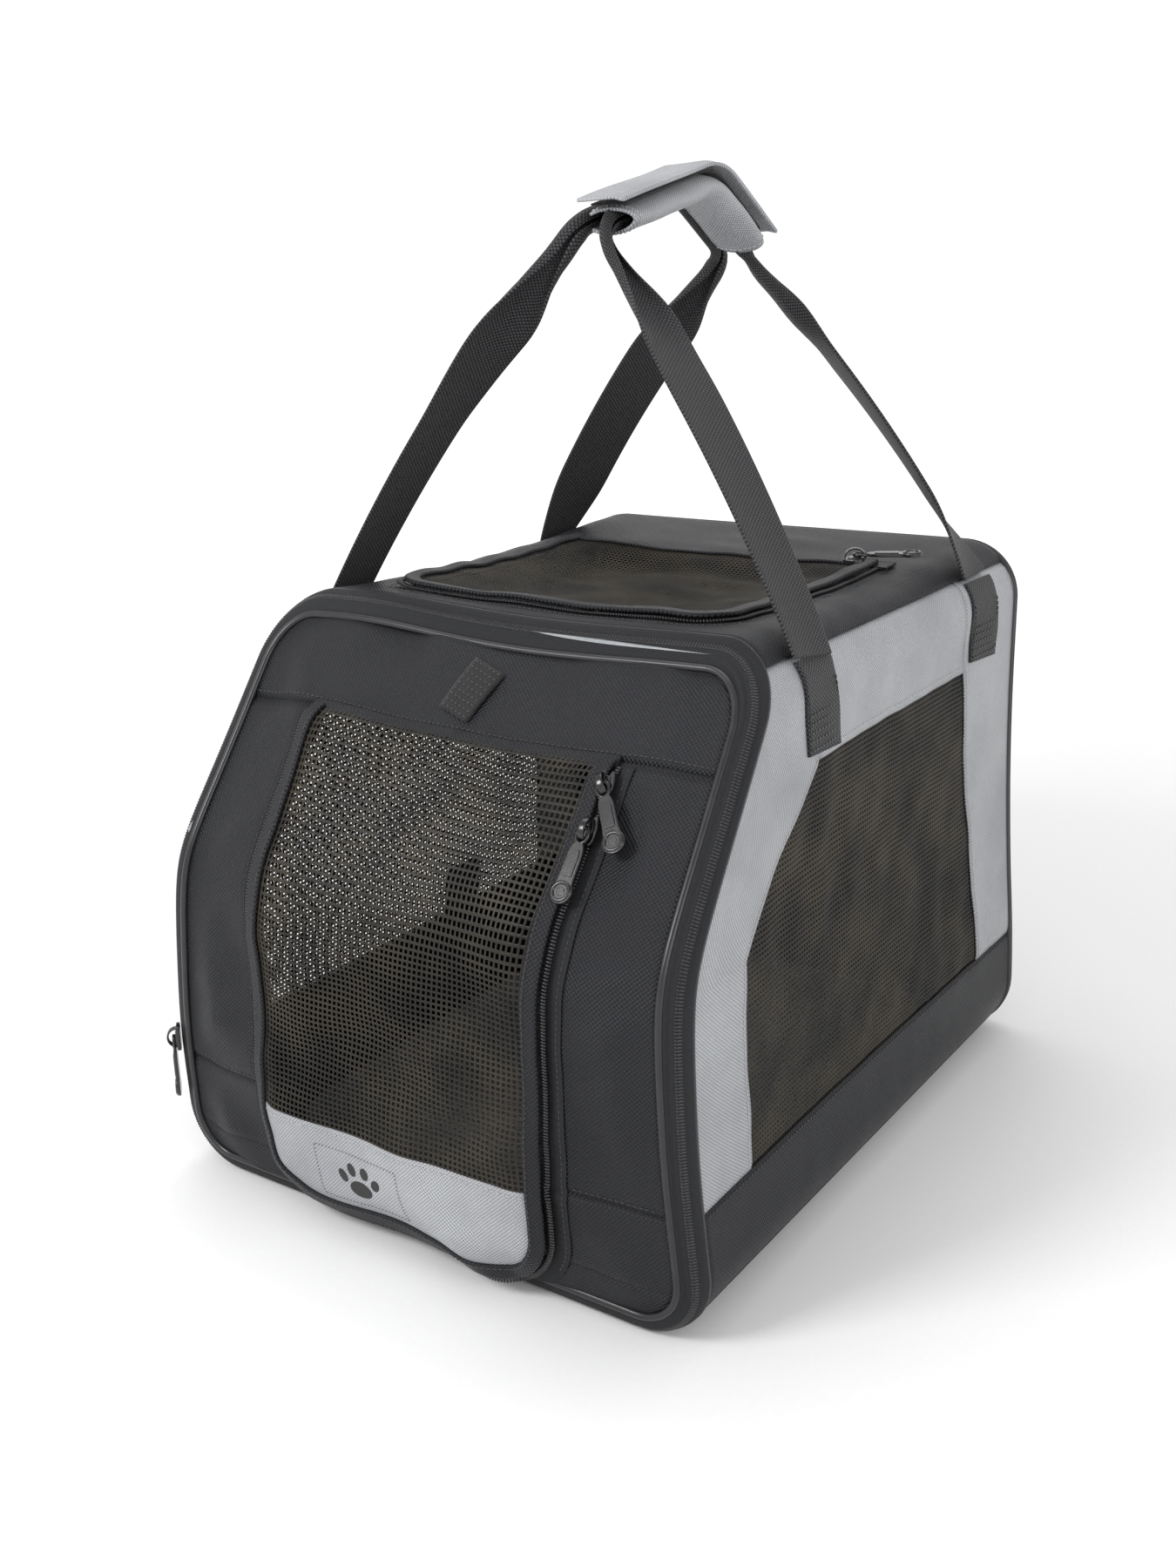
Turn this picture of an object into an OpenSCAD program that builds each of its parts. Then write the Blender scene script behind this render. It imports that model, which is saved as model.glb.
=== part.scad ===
// Soft-sided pet carrier bag: two hooped end panels joined by a fabric sleeve,
// with a zipped mesh door, a zipped mesh hatch, mesh side windows and a webbing handle.
// +Z is up, -Y is the front, and the origin is the middle of the footprint on the floor.

/* [Body] */
// Width across the side panels at the floor
base_w = 370; // [330:1:420]
// Width across the side panels at the top
top_w = 334; // [300:1:370]
// Height of the body, without the handle
body_h = 340; // [320:1:380]
// Depth over the front knee and the top of the rear panel
body_d = 450; // [420:1:500]
// Corner radius of the hoops and of the sleeve between them
corner_r = 38; // [30:1:50]
// Thickness of the fabric panels
skin = 2; // [1.5:0.1:3]

/* [Front slope] */
// Height of the knee where the front starts to lean back
knee_z = 204; // [190:1:220]
// How far the top of the front lies behind the knee
lean = 114; // [90:1:130]
// How far the foot of the front lies behind the knee
knee_out = 8; // [2:1:14]
// How far the foot of the rear panel lies in front of its top
rear_lean = 12; // [0:1:20]

/* [Bands and windows] */
// Height of the plain band round the base
band_h = 75; // [60:1:90]
// Depth of the pale band above each side window
top_band = 56; // [45:1:65]
// Height of the corner in each window's front edge
window_knee_z = 192; // [170:1:200]

/* [Door and hatch] */
// Width of the door between its zip teeth
door_w = 204; // [180:1:220]
// Height of the door's sewn top edge, its hinge
door_top = 285; // [275:1:295]
// Height of the door's bottom edge
door_foot = 13; // [10:1:20]
// Radius of the door's bottom corners
door_r = 34; // [20:1:45]
// Width of the hatch between its zip teeth
hatch_w = 226; // [200:1:240]
// Front edge of the hatch
hatch_front = -72; // [-76:1:-60]
// Sewn rear edge of the hatch, its hinge
hatch_rear = 126; // [110:1:140]

/* [Handle] */
// Width of the webbing
web_w = 38; // [25:1:50]
// Thickness of the webbing
web_t = 2; // [1.5:0.1:3]
// Where the front straps are sewn on, along the side
front_strap_y = -60; // [-70:1:-50]
// Where the rear straps are sewn on, along the side
rear_strap_y = 165; // [155:1:175]
// Height of the grip's peak
grip_z = 566; // [540:1:590]

/* [Hidden] */

gap = 0.3;                          // clearance between neighbouring pieces
knee_blend = 10;                    // how softly the front bends at the knee
door_proud = 6;                     // how far the door stands out in front of its panel
front_y = -body_d / 2 + door_proud / 2;     // the knee, the foremost line of the end panel
rear_y = front_y + body_d;          // the rear panel's top edge
foot_y = front_y + knee_out;
head_y = front_y + lean;
slope = atan2(body_h - knee_z, lean);
side_tilt = atan2((base_w - top_w) / 2, body_h);
edge_r = 10;                        // the zipped edge between an end panel and the sleeve
piping_r = 2.3;
piping_inset = edge_r + 1.5;
hoop_rod_r = 2.5;
panel_inset = piping_inset + piping_r + gap;
edge_piping_setback = edge_r + 0.5;
edge_piping_inset = piping_r + 0.2;
sleeve_setback = edge_piping_setback + (piping_r + 2 * gap) / sin(slope) + 2;
seam_z = body_h - corner_r * (1 - sin(45));
foot_seam_z = corner_r * (1 - sin(45));
far = 400;                          // longer than the body in any direction
arc_steps = 6;
side_steps = 9;

// ---------- outlines ----------

function side_x(z) = base_w / 2 - (base_w - top_w) / 2 * z / body_h;

function lower_y(z) = foot_y - knee_out * z / knee_z;
function upper_y(z) = front_y + lean * (z - knee_z) / (body_h - knee_z);
function smooth_max(a, b) = (a + b + sqrt((a - b) * (a - b) + knee_blend * knee_blend)) / 2;
function front_at(z) = smooth_max(lower_y(z), upper_y(z));
function rear_at(z) = rear_y - rear_lean * (1 - z / body_h);

function unit(v) = v / norm(v);
function signed_turn(from, to) = ((to - from + 540) % 360) - 180;

// An arc of radius r that rounds corner b between a and c
function corner_arc(a, b, c, r, n) =
    let (
        u = unit(a - b),
        v = unit(c - b),
        half = acos(u * v) / 2,
        centre = b + unit(u + v) * r / sin(half),
        first = b + u * r / tan(half) - centre,
        last = b + v * r / tan(half) - centre,
        start = atan2(first.y, first.x),
        turn = signed_turn(start, atan2(last.y, last.x))
    )
    [for (i = [0:n]) centre + r * [cos(start + turn * i / n), sin(start + turn * i / n)]];

function rounded(p, r, n = arc_steps) =
    [for (i = [0:len(p) - 1])
        each corner_arc(p[(i + len(p) - 1) % len(p)], p[i], p[(i + 1) % len(p)], r, n)];

function between(a, b, n) = n < 2 ? [] : [for (i = [1:n - 1]) a + (b - a) * i / n];

// The hoop's outline seen from the front, in X and Z, counter-clockwise from the lower right
function hoop_corners(inset) = [
    [side_x(0) - inset, inset], [side_x(body_h) - inset, body_h - inset],
    [inset - side_x(body_h), body_h - inset], [inset - side_x(0), inset]
];
function hoop_outline(inset) =
    let (
        c = hoop_corners(inset),
        r = max(corner_r - inset, 6),
        arcs = [for (i = [0:3]) corner_arc(c[(i + 3) % 4], c[i], c[(i + 1) % 4], r, arc_steps)],
        steps = [side_steps, 2, side_steps, 2]
    )
    [for (i = [0:3]) each concat(arcs[i], between(arcs[i][arc_steps], arcs[(i + 1) % 4][0], steps[i]))];

// The same outline in space, on the front or the rear end panel, set back into the bag
function end_loop(front, inset, setback) =
    [for (p = hoop_outline(inset))
        [p.x, front ? front_at(p.y) + setback : rear_at(p.y) - setback, p.y]];

// ---------- solids from loops of points ----------

// A closed solid whose section corners run along the given loops, joined end to end or capped
module loft(loops, closed = false) {
    m = len(loops);
    n = len(loops[0]);
    last = closed ? n - 1 : n - 2;
    points = [for (l = loops) each l];
    sides = [for (j = [0:m - 1], i = [0:last])
        let (a = j * n + i, b = j * n + (i + 1) % n, c = ((j + 1) % m) * n + (i + 1) % n, d = ((j + 1) % m) * n + i)
        each [[a, c, b], [a, d, c]]];
    caps = closed ? [] : concat(
        [for (j = [1:m - 2]) [0, (j + 1) * n, j * n]],
        [for (j = [1:m - 2]) [n - 1, j * n + n - 1, (j + 1) * n + n - 1]]);
    polyhedron(points, concat(sides, caps), convexity = 6);
}

// Rings of a round section along a closed path that never runs straight along Y
function tube_loops(path, r, sides) =
    [for (k = [0:sides - 1])
        [for (i = [0:len(path) - 1])
            let (
                t = unit(path[(i + 1) % len(path)] - path[(i + len(path) - 1) % len(path)]),
                across = unit([0, 1, 0] - t.y * t),
                up = cross(t, across),
                a = 360 * k / sides
            )
            path[i] + r * (cos(a) * across + sin(a) * up)]];

module end_tube(front, inset, setback, r, sides = 8) {
    loops = tube_loops(end_loop(front, inset, setback), r, sides);
    loft(loops, closed = true);
}

// A band round the zipped edge, from one angle to another of its quarter circle
module edge_band(front, from, to, lift, thick) {
    angles = [from, (from + to) / 2, to];
    function at(a, r) = end_loop(front, edge_r - r * sin(a), edge_r - r * cos(a));
    outer = [for (a = angles) at(a, edge_r + lift + thick)];
    inner = [for (a = angles) at(a, edge_r + lift)];
    loops = concat(outer, [inner[2], inner[1], inner[0]]);
    loft(front ? loops : [for (i = [len(loops) - 1:-1:0]) loops[i]], closed = true);
}

// ---------- prisms along each axis ----------

module along_x(from, to) {
    translate([from, 0, 0]) rotate([90, 0, 90]) linear_extrude(to - from) children();
}

module along_y(from, to) {
    translate([0, to, 0]) rotate([90, 0, 0]) linear_extrude(to - from) children();
}

module box_between(a, b) {
    translate(a) cube(b - a);
}

// ---------- end panels ----------

profile_heights = [for (i = [0:34]) i * body_h / 34];

// A sheet that follows the front, its outer face set back from the front surface
module front_sheet(setback, thick) {
    outer = [for (z = profile_heights) [front_at(z) + setback, z]];
    inner = [for (i = [len(outer) - 1:-1:0]) outer[i] + [thick, 0]];
    along_x(-far / 2, far / 2) polygon(concat(outer, inner));
}

module front_piece(setback = 0, thick = skin) {
    intersection() {
        front_sheet(setback, thick);
        along_y(-far, 0) children();
    }
}

module rear_piece() {
    intersection() {
        along_x(-far / 2, far / 2)
            polygon([[rear_at(0) - skin, 0], [rear_at(0), 0], [rear_at(body_h), body_h],
                [rear_at(body_h) - skin, body_h]]);
        along_y(0, far) children();
    }
}

module panel_outline() {
    polygon(hoop_outline(panel_inset));
}

// The door's outline seen from the front, grown by a margin outside its zip teeth
function door_outline(margin) =
    let (
        hw = door_w / 2 + margin,
        foot = door_foot - margin,
        r = door_r + margin,
        taper = 3
    )
    concat(
        [[hw, door_top], [-hw, door_top]],
        corner_arc([-hw, door_top], [taper - hw, foot], [hw - taper, foot], r, arc_steps),
        corner_arc([taper - hw, foot], [hw - taper, foot], [hw, door_top], r, arc_steps)
    );

doorway_margin = -6;                // the doorway is smaller than the door that covers it
doorway_sill = 18;                  // the doorway's lower edge above the door's foot

module doorway() {
    intersection() {
        polygon(door_outline(doorway_margin));
        translate([-far / 2, door_foot + doorway_sill]) square([far, far]);
    }
}

module front_header() {
    color("#26272b") front_piece() intersection() {
        panel_outline();
        translate([-far / 2, door_top + gap]) square([far, far]);
    }
}

module front_side_panel(side) {
    color("#26272b") front_piece() difference() {
        intersection() {
            panel_outline();
            translate([side < 0 ? -far : 0, band_h + gap / 2]) square([far, door_top - band_h - gap / 2]);
        }
        doorway();
    }
}

module front_base_band() {
    color("#1d1e21") front_piece() difference() {
        intersection() {
            panel_outline();
            translate([-far / 2, 0]) square([far, band_h - gap / 2]);
        }
        doorway();
    }
}

module rear_panel() {
    color("#26272b") rear_piece() intersection() {
        panel_outline();
        translate([-far / 2, band_h + gap / 2]) square([far, far]);
    }
}

module rear_base_band() {
    color("#1d1e21") rear_piece() intersection() {
        panel_outline();
        translate([-far / 2, 0]) square([far, band_h - gap / 2]);
    }
}

// ---------- zipped edges and hoops ----------

module hoop(front) {
    color("#8c8f94") end_tube(front, edge_r - 2, edge_r - 2, hoop_rod_r, 6);
}

module inner_piping(front) {
    color("#111214") end_tube(front, piping_inset, 0.8, piping_r);
}

module edge_piping(front) {
    color("#111214") end_tube(front, edge_piping_inset, edge_piping_setback, piping_r);
}

module zip_tape(front) {
    color("#2c2d31") edge_band(front, 16, 68, -1, 1);
}

module zip_coil(front) {
    color("#1a1a1d") edge_band(front, 34, 56, 0.2, 1.6);
}

// ---------- sleeve: sides, top and bottom ----------

module sleeve_ring() {
    along_y(-far, far) difference() {
        polygon(hoop_outline(0));
        polygon(hoop_outline(skin));
    }
}

// The sleeve's outline seen from the side, between two heights
function sleeve_side(low, high, n = 36) =
    concat(
        [for (i = [0:n]) let (z = high + (low - high) * i / n) [front_at(z) + sleeve_setback, z]],
        [for (i = [0:n]) let (z = low + (high - low) * i / n) [rear_at(z) - sleeve_setback, z]]
    );

window_front = front_y + 70;
window_top = seam_z - top_band;
window_top_front = [-64, window_top - 2];
window_rear_top = [140, window_top];
window_rear_foot = [151, band_h];

module window_shape() {
    polygon([[window_front, band_h], window_rear_foot, window_rear_top, window_top_front,
        [window_front, window_knee_z]]);
}

// A piece of one side of the sleeve, cut to a shape seen from the side
module side_piece(side) {
    intersection() {
        sleeve_ring();
        along_x(side < 0 ? -far : 0, side < 0 ? 0 : far) children();
    }
}

module front_trim(side) {
    color("#c9ccd0") side_piece(side) difference() {
        polygon(sleeve_side(band_h + gap / 2, seam_z - gap / 2));
        offset_window();
        translate([window_top_front.x - gap / 2, 0]) square([far, far]);
    }
}

module offset_window() {
    polygon([[window_front - gap, 0], [window_rear_foot.x + gap, 0], window_rear_foot + [gap, 0],
        window_rear_top + [gap, gap], window_top_front + [-gap, gap], [window_front - gap, window_knee_z]]);
}

module top_trim(side) {
    color("#c9ccd0") side_piece(side) difference() {
        polygon([window_top_front + [gap / 2, -20], window_rear_top + [-gap / 2, -20],
            [window_rear_top.x - gap / 2, seam_z - gap / 2], [window_top_front.x + gap / 2, seam_z - gap / 2]]);
        offset_window();
    }
}

module rear_trim(side) {
    color("#c9ccd0") side_piece(side) intersection() {
        polygon(sleeve_side(band_h + gap / 2, seam_z - gap / 2));
        polygon([window_rear_foot + [gap, 0], [far, band_h], [far, body_h],
            [window_rear_top.x + gap, body_h], window_rear_top + [gap, 0]]);
    }
}

module window(side) {
    color("#3b3a34") side_piece(side) intersection() {
        window_shape();
        translate([-far, band_h + gap / 2]) square([2 * far, far]);
    }
}

module side_base_band(side) {
    color("#1d1e21") side_piece(side)
        polygon(sleeve_side(foot_seam_z + gap / 2, band_h - gap / 2));
}

function hatch_outline(margin) =
    let (
        hw = hatch_w / 2 + margin,
        y0 = hatch_front - margin,
        r = 26 + margin
    )
    concat(
        [[hw, hatch_rear], [-hw, hatch_rear]],
        corner_arc([-hw, hatch_rear], [-hw, y0], [hw, y0], r, arc_steps),
        corner_arc([-hw, y0], [hw, y0], [hw, hatch_rear], r, arc_steps)
    );

module top_panel() {
    color("#26272b") difference() {
        intersection() {
            sleeve_ring();
            along_x(-far / 2, far / 2) polygon(sleeve_side(seam_z + gap / 2, body_h));
        }
        translate([0, 0, body_h / 2]) linear_extrude(body_h) polygon(hatch_outline(-6));
    }
}

module bottom_panel() {
    color("#1d1e21") intersection() {
        sleeve_ring();
        along_x(-far / 2, far / 2) polygon(sleeve_side(0, foot_seam_z - gap / 2));
    }
}

// ---------- door ----------

binding_t = 2.6;                    // thickness of the fabric edge
mesh_t = 1.6;                       // thickness of the mesh and of the pale band below it
coil_t = 2.4;                       // thickness of the zip teeth
coil_lift = 2;                      // how far the teeth stand out from the panel
tooth_w = 4.4;                      // width of the zip teeth round the door and hatch
binding_w = 9;                      // width of the fabric edge round the door and hatch

module door_zip_tape() {
    color("#2c2d31") front_piece(-1.2, 1) difference() {
        polygon(door_outline(tooth_w + 7));
        polygon(door_outline(-2));
        translate([-far / 2, door_top - gap]) square([far, far]);
        translate([-far / 2, 0]) square([far, panel_inset]);
    }
}

module door_zip_coil() {
    color("#1a1a1d") front_piece(-coil_lift - coil_t, coil_t) difference() {
        polygon(door_outline(tooth_w));
        polygon(door_outline(gap));
        translate([-far / 2, door_top - 1]) square([far, far]);
        translate([-far / 2, 0]) square([far, door_foot - tooth_w / 2]);
    }
}

module door_field(margin, low, high) {
    intersection() {
        polygon(door_outline(margin));
        translate([-far / 2, low]) square([far, high - low]);
    }
}

module door_binding() {
    color("#26272b") front_piece(-door_proud, binding_t) difference() {
        door_field(0, 0, door_top - 1);
        door_field(-binding_w, 0, door_top - binding_w / 2);
    }
}

module door_band() {
    color("#c9ccd0") front_piece(-door_proud + 0.5, mesh_t)
        door_field(-binding_w - gap, 0, band_h - 3);
}

module door_mesh() {
    color("#3b3a34") front_piece(-door_proud + 0.5, mesh_t)
        door_field(-binding_w - gap, band_h - 3 + gap, door_top - binding_w / 2 - gap);
}

module keeper_tab() {
    z = door_top + 21;
    color("#141416")
        translate([-2, front_at(z), z]) rotate([slope, 0, 0]) rotate([0, 0, -18])
            translate([-11, -17, 0.4]) cube([22, 34, 2]);
}

// ---------- hatch ----------

hatch_proud = 6;                    // how far the hatch stands up from the top panel

module hatch_layer(z, thick) {
    translate([0, 0, body_h + z]) linear_extrude(thick) children();
}

module hatch_field(margin) {
    intersection() {
        polygon(hatch_outline(margin));
        translate([-far, -far]) square([2 * far, far + hatch_rear - 1 + min(0, margin)]);
    }
}

module hatch_zip_tape() {
    color("#2c2d31") hatch_layer(0.2, 1) difference() {
        polygon(hatch_outline(tooth_w + 6));
        polygon(hatch_outline(-2));
        translate([-far / 2, hatch_rear - gap]) square([far, far]);
    }
}

module hatch_zip_coil() {
    color("#1a1a1d") hatch_layer(coil_lift, coil_t) difference() {
        hatch_field(tooth_w);
        polygon(hatch_outline(gap));
        translate([-far / 2, hatch_rear - 1]) square([far, far]);
    }
}

module hatch_binding() {
    color("#26272b") hatch_layer(hatch_proud - binding_t, binding_t) difference() {
        hatch_field(0);
        hatch_field(-binding_w);
    }
}

module hatch_mesh() {
    color("#3b3a34") hatch_layer(hatch_proud - 2, mesh_t) hatch_field(-binding_w - gap);
}

// ---------- zip sliders, each drawn at its own origin, sliding along Y with +Z outwards ----------

pin_r = 1.5;
pin_clearance = 0.1;
pin_z = 4.2;
pull_w = 10;
pull_len = 34;
plate_t = 2.2;

module slider_body(turn = 0) {
    color("#0e0e10") {
        linear_extrude(plate_t)
            polygon([[-5.5, -5], [-3.2, -8], [3.2, -8], [5.5, -5], [5.5, 4], [3.5, 8], [-3.5, 8], [-5.5, 4]]);
        rotate([0, 0, turn]) difference() {
            translate([-1.6, -3.6, plate_t - 0.5]) cube([3.2, 7.2, 4.6]);
            translate([-far, 0, pin_z]) rotate([0, 90, 0])
                cylinder(h = 2 * far, r = pin_r + pin_clearance, $fn = 32);
        }
    }
}

// The tab hangs from a pin through the slider's bridge, with a round hole near its end
module slider_pull(turn = 0) {
    arm = 1.7;
    color("#0e0e10") rotate([0, 0, turn]) {
        translate([-3.6, 0, pin_z]) rotate([0, 90, 0]) cylinder(h = 7.2, r = pin_r, $fn = 32);
        for (x = [-3.6, 3.6 - arm])
            translate([x, -7, pin_z - 1.1]) cube([arm, 7, 2.2]);
        translate([0, 0, pin_z - 1.1]) linear_extrude(2.2) difference() {
            union() {
                translate([-pull_w / 2, -pull_len]) square([pull_w, pull_len - 6]);
                translate([0, -pull_len]) circle(d = pull_w + 3, $fn = 40);
            }
            translate([0, -pull_len]) circle(r = 3.4, $fn = 40);
        }
    }
}

slider_clear = 0.8;                 // air between a slider and the edge that it runs along

// Puts a slider at a point, running along one direction and facing out along another
module place(at, along, out) {
    y = unit(along);
    z = unit(out - (out * y) * y);
    x = cross(y, z);
    multmatrix([[x.x, y.x, z.x, at.x], [x.y, y.y, z.y, at.y], [x.z, y.z, z.z, at.z], [0, 0, 0, 1]])
        children();
}

door_slider_x = door_w / 2 + tooth_w / 2 - 0.5;
upper_slider_z = 273;
lower_slider_z = 254;
upper_pull_turn = 33;

// The sloping part of the door's right-hand zip
module on_door(z) {
    out = [0, -sin(slope), cos(slope)];
    lift = door_proud * sin(slope) + slider_clear;
    place([door_slider_x, front_at(z), z] + lift * out, [0, cos(slope), sin(slope)], out) children();
}

hatch_pull_turn = 117;

module on_hatch() {
    translate([hatch_w / 2 + tooth_w / 2 - 0.5, hatch_rear - 36, body_h + hatch_proud + slider_clear])
        children();
}

// The zipped edge of an end panel, low on the left-hand side
edge_slider_z = 84;

module on_edge(front) {
    mid = edge_r * (1 - cos(45));
    function edge(z) = [mid - side_x(z), front ? front_at(z) + mid : rear_at(z) - mid, z];
    out = unit([-1, front ? -1 : 1, 0]);
    place(edge(edge_slider_z) + (2 + slider_clear) * out, edge(edge_slider_z + 30) - edge(edge_slider_z), out)
        children();
}

// ---------- inside ----------

board_t = 3;

module base_board() {
    color("#55504a") translate([0, foot_y + 22, skin + gap]) linear_extrude(board_t)
        polygon(rounded([[-142, 0], [142, 0], [142, 386], [-142, 386]], 20));
}

module floor_pad() {
    color("#8d9095") translate([0, foot_y + 26, skin + board_t + 2 * gap]) linear_extrude(26)
        polygon(rounded([[-148, 0], [148, 0], [148, 380], [-148, 380]], 28));
}

module tether_tab() {
    z = 92;
    color("#141416") translate([-side_x(z) + skin + gap, 52, z])
        rotate([0, side_tilt, 0]) translate([0, -19, -17]) cube([2, 38, 34]);
}

// ---------- handle ----------

sewn_foot = 276;                    // lower end of the sewn strap
leave_turn = 38;                    // how far round the top edge the strap lies before it leaves
top_centre = [side_x(body_h - corner_r) - corner_r, body_h - corner_r];
anchor_r = corner_r + gap + web_t / 2 + 1.5;
anchor = top_centre + anchor_r * [cos(leave_turn), sin(leave_turn)];
sleeve_w = 38;
sleeve_t = 17;
sleeve_x = 6;                       // the sleeve's middle, right of the bag's middle
mouth_x = -7;                       // the sleeve is open to the left of here
left_bundle_x = 11;                 // the left loop's webbing in the grip, left of the middle
right_bundle_x = 6;
bundle_w = 12;                      // the webbing is folded where it runs through the grip
bundle_t = 3.5;
grip_front = [-6, grip_z - 20];
grip_peak = [88, grip_z];
grip_rear = [142, grip_z - 34];

// The sewn stretch of one strap: up the side and a little way round the top edge
module strap_end(y) {
    turns = [for (i = [0:5]) leave_turn * (0.12 + 0.68 * i / 5)];
    function shell(r) = concat(
        [[side_x(sewn_foot) + r - corner_r, sewn_foot], [side_x(top_centre.y) + r - corner_r, top_centre.y]],
        [for (a = turns) top_centre + r * [cos(a), sin(a)]]);
    outer = shell(corner_r + gap + web_t);
    inner = shell(corner_r + gap);
    along_y(y - web_w / 2, y + web_w / 2)
        polygon(concat(outer, [for (i = [len(inner) - 1:-1:0]) inner[i]]));
}

module strap_ends(side) {
    color("#1b1b1e") mirror([side < 0 ? 1 : 0, 0, 0])
        for (y = [front_strap_y, rear_strap_y]) strap_end(y);
}

// Stations along one strap, from its anchor to the grip: place, width direction and half sizes
function strap_stations(y, grip_end, bundle_x, turns, n = 16) =
    let (
        start = [anchor.x, y, anchor.y],
        end = [bundle_x, grip_end.x, grip_end.y],
        sag = 9 * unit(cross(end - start, [0, 1, 0]))
    )
    [for (i = [0:n - 1])
        let (
            t = i / n,
            turn = lookup(t, turns),
            fold = max(0, (t - 0.75) / 0.22)
        )
        [start + (end - start) * t - sag * 4 * t * (1 - t), [-sin(turn), cos(turn), 0],
            web_w / 2 + (bundle_w - web_w) / 2 * min(fold, 1), web_t / 2 + (bundle_t - web_t) / 2 * min(fold, 1)]];

// The grip's bent centre line, front to rear, as depth and height
grip_line = concat(
    [for (i = [0:4]) grip_front + (grip_peak - grip_front) * i / 5],
    [for (i = [0:3]) grip_peak + (grip_rear - grip_peak) * i / 3]);

function reversed(v) = [for (i = [len(v) - 1:-1:0]) v[i]];

left_front_turns = [[0, 0], [0.5, 8], [0.85, 40], [1, 60]];
right_front_turns = [[0, 0], [0.6, -6], [0.85, 0], [1, 30]];
rear_turns = [[0, 0], [0.2, 35], [0.8, 45], [1, 60]];

// One loop of webbing: up from the front anchor, through the grip and down to the rear anchor
module loop(side) {
    x = side < 0 ? left_bundle_x : right_bundle_x;
    turns = side < 0 ? left_front_turns : right_front_turns;
    front = strap_stations(front_strap_y, grip_front - [13, 8], x, turns);
    rear = strap_stations(rear_strap_y, grip_rear + [9, -12], x, rear_turns);
    middle = [for (p = stretched(grip_line, 6)) [[x, p.x, p.y], [0, 0, -1], bundle_w / 2, bundle_t / 2]];
    turned = [for (s = reversed(rear)) [s[0], -s[1], s[2], s[3]]];
    stations = concat(front, middle, turned);
    last = len(stations) - 1;
    function ring(i, a, b) =
        let (
            s = stations[i],
            t = unit(stations[min(i + 1, last)][0] - stations[max(i - 1, 0)][0]),
            w = unit(s[1] - (s[1] * t) * t)
        )
        s[0] + w * a * s[2] + cross(t, w) * b * s[3];
    color("#1b1b1e") mirror([side < 0 ? 1 : 0, 0, 0])
        loft([for (c = [[-1, -1], [1, -1], [1, 1], [-1, 1]]) [for (i = [0:last]) ring(i, c.x, c.y)]]);
}

// Lines that run along the grip at each corner of a section
function grip_loops(section, path = grip_line) =
    let (last = len(path) - 1)
    [for (c = section)
        [for (i = [0:last])
            let (
                t = unit(path[min(i + 1, last)] - path[max(i - 1, 0)]),
                p = path[i] + c.y * [-t.y, t.x]
            )
            [c.x, p.x, p.y]]];

// The same line, run a little past both ends
function stretched(p, by) =
    let (n = len(p) - 1)
    concat([p[0] + unit(p[0] - p[1]) * by], [for (i = [1:n - 1]) p[i]], [p[n] + unit(p[n] - p[n - 1]) * by]);

function oval(w, h, n) =
    [for (k = [0:n - 1]) [sleeve_x + w / 2 * cos(360 * k / n), h / 2 * sin(360 * k / n)]];

module grip_sleeve() {
    wall = 1.6;
    color("#c9ccd0") difference() {
        loft(grip_loops(oval(sleeve_w, sleeve_t, 14)));
        loft(grip_loops(oval(sleeve_w - 2 * wall, sleeve_t - 2 * wall, 14), stretched(grip_line, 4)));
        box_between([mouth_x - 30, -far, 0], [mouth_x, far, 2 * far]);
    }
}

module grip_hook_tape() {
    low = sleeve_t / 2 + gap;
    color("#141416") loft(grip_loops([[-5, low], [18, low], [18, low + 1.4], [-5, low + 1.4]]));
}

module grip_flap() {
    low = sleeve_t / 2 + 2 * gap + 1.4;
    section = [[-7, low], [24, low + 1.5], [24, low + 3.5], [-7, low + 2]];
    color("#c9ccd0") loft(grip_loops(section, stretched(grip_line, 10)));
}

// ---------- drawing ----------

hoop(true);  // front_hoop
hoop(false);  // rear_hoop
inner_piping(true);  // front_piping
inner_piping(false);  // rear_piping
edge_piping(true);  // front_edge_piping
edge_piping(false);  // rear_edge_piping
zip_tape(true);  // front_zip_tape
zip_tape(false);  // rear_zip_tape
zip_coil(true);  // front_zip_coil
zip_coil(false);  // rear_zip_coil
front_header();
front_side_panel(-1);  // front_left_panel
front_side_panel(1);  // front_right_panel
front_base_band();
door_zip_tape();
keeper_tab();
rear_panel();
rear_base_band();
top_panel();
hatch_zip_tape();
bottom_panel();
front_trim(-1);  // left_front_trim
top_trim(-1);  // left_top_trim
rear_trim(-1);  // left_rear_trim
window(-1);  // left_window
side_base_band(-1);  // left_base_band
front_trim(1);  // right_front_trim
top_trim(1);  // right_top_trim
rear_trim(1);  // right_rear_trim
window(1);  // right_window
side_base_band(1);  // right_base_band
base_board();
floor_pad();
tether_tab();
strap_ends(-1);  // left_strap_ends
strap_ends(1);  // right_strap_ends
loop(-1);  // left_loop
loop(1);  // right_loop
door_mesh();
door_band();
door_binding();
door_zip_coil();
on_door(upper_slider_z) slider_body(upper_pull_turn);  // door_upper_slider
on_door(upper_slider_z) slider_pull(upper_pull_turn);  // door_upper_pull
on_door(lower_slider_z) slider_body();  // door_lower_slider
on_door(lower_slider_z) slider_pull();  // door_lower_pull
hatch_mesh();
hatch_binding();
hatch_zip_coil();
on_hatch() slider_body(hatch_pull_turn);  // hatch_slider
on_hatch() slider_pull(hatch_pull_turn);  // hatch_pull
on_edge(true) slider_body();  // front_zip_slider
on_edge(true) slider_pull();  // front_zip_pull
on_edge(false) slider_body();  // rear_zip_slider
on_edge(false) slider_pull();  // rear_zip_pull
grip_sleeve();
grip_flap();
grip_hook_tape();
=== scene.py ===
import bpy
import math
import numpy as np
from mathutils import Matrix, Vector


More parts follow.
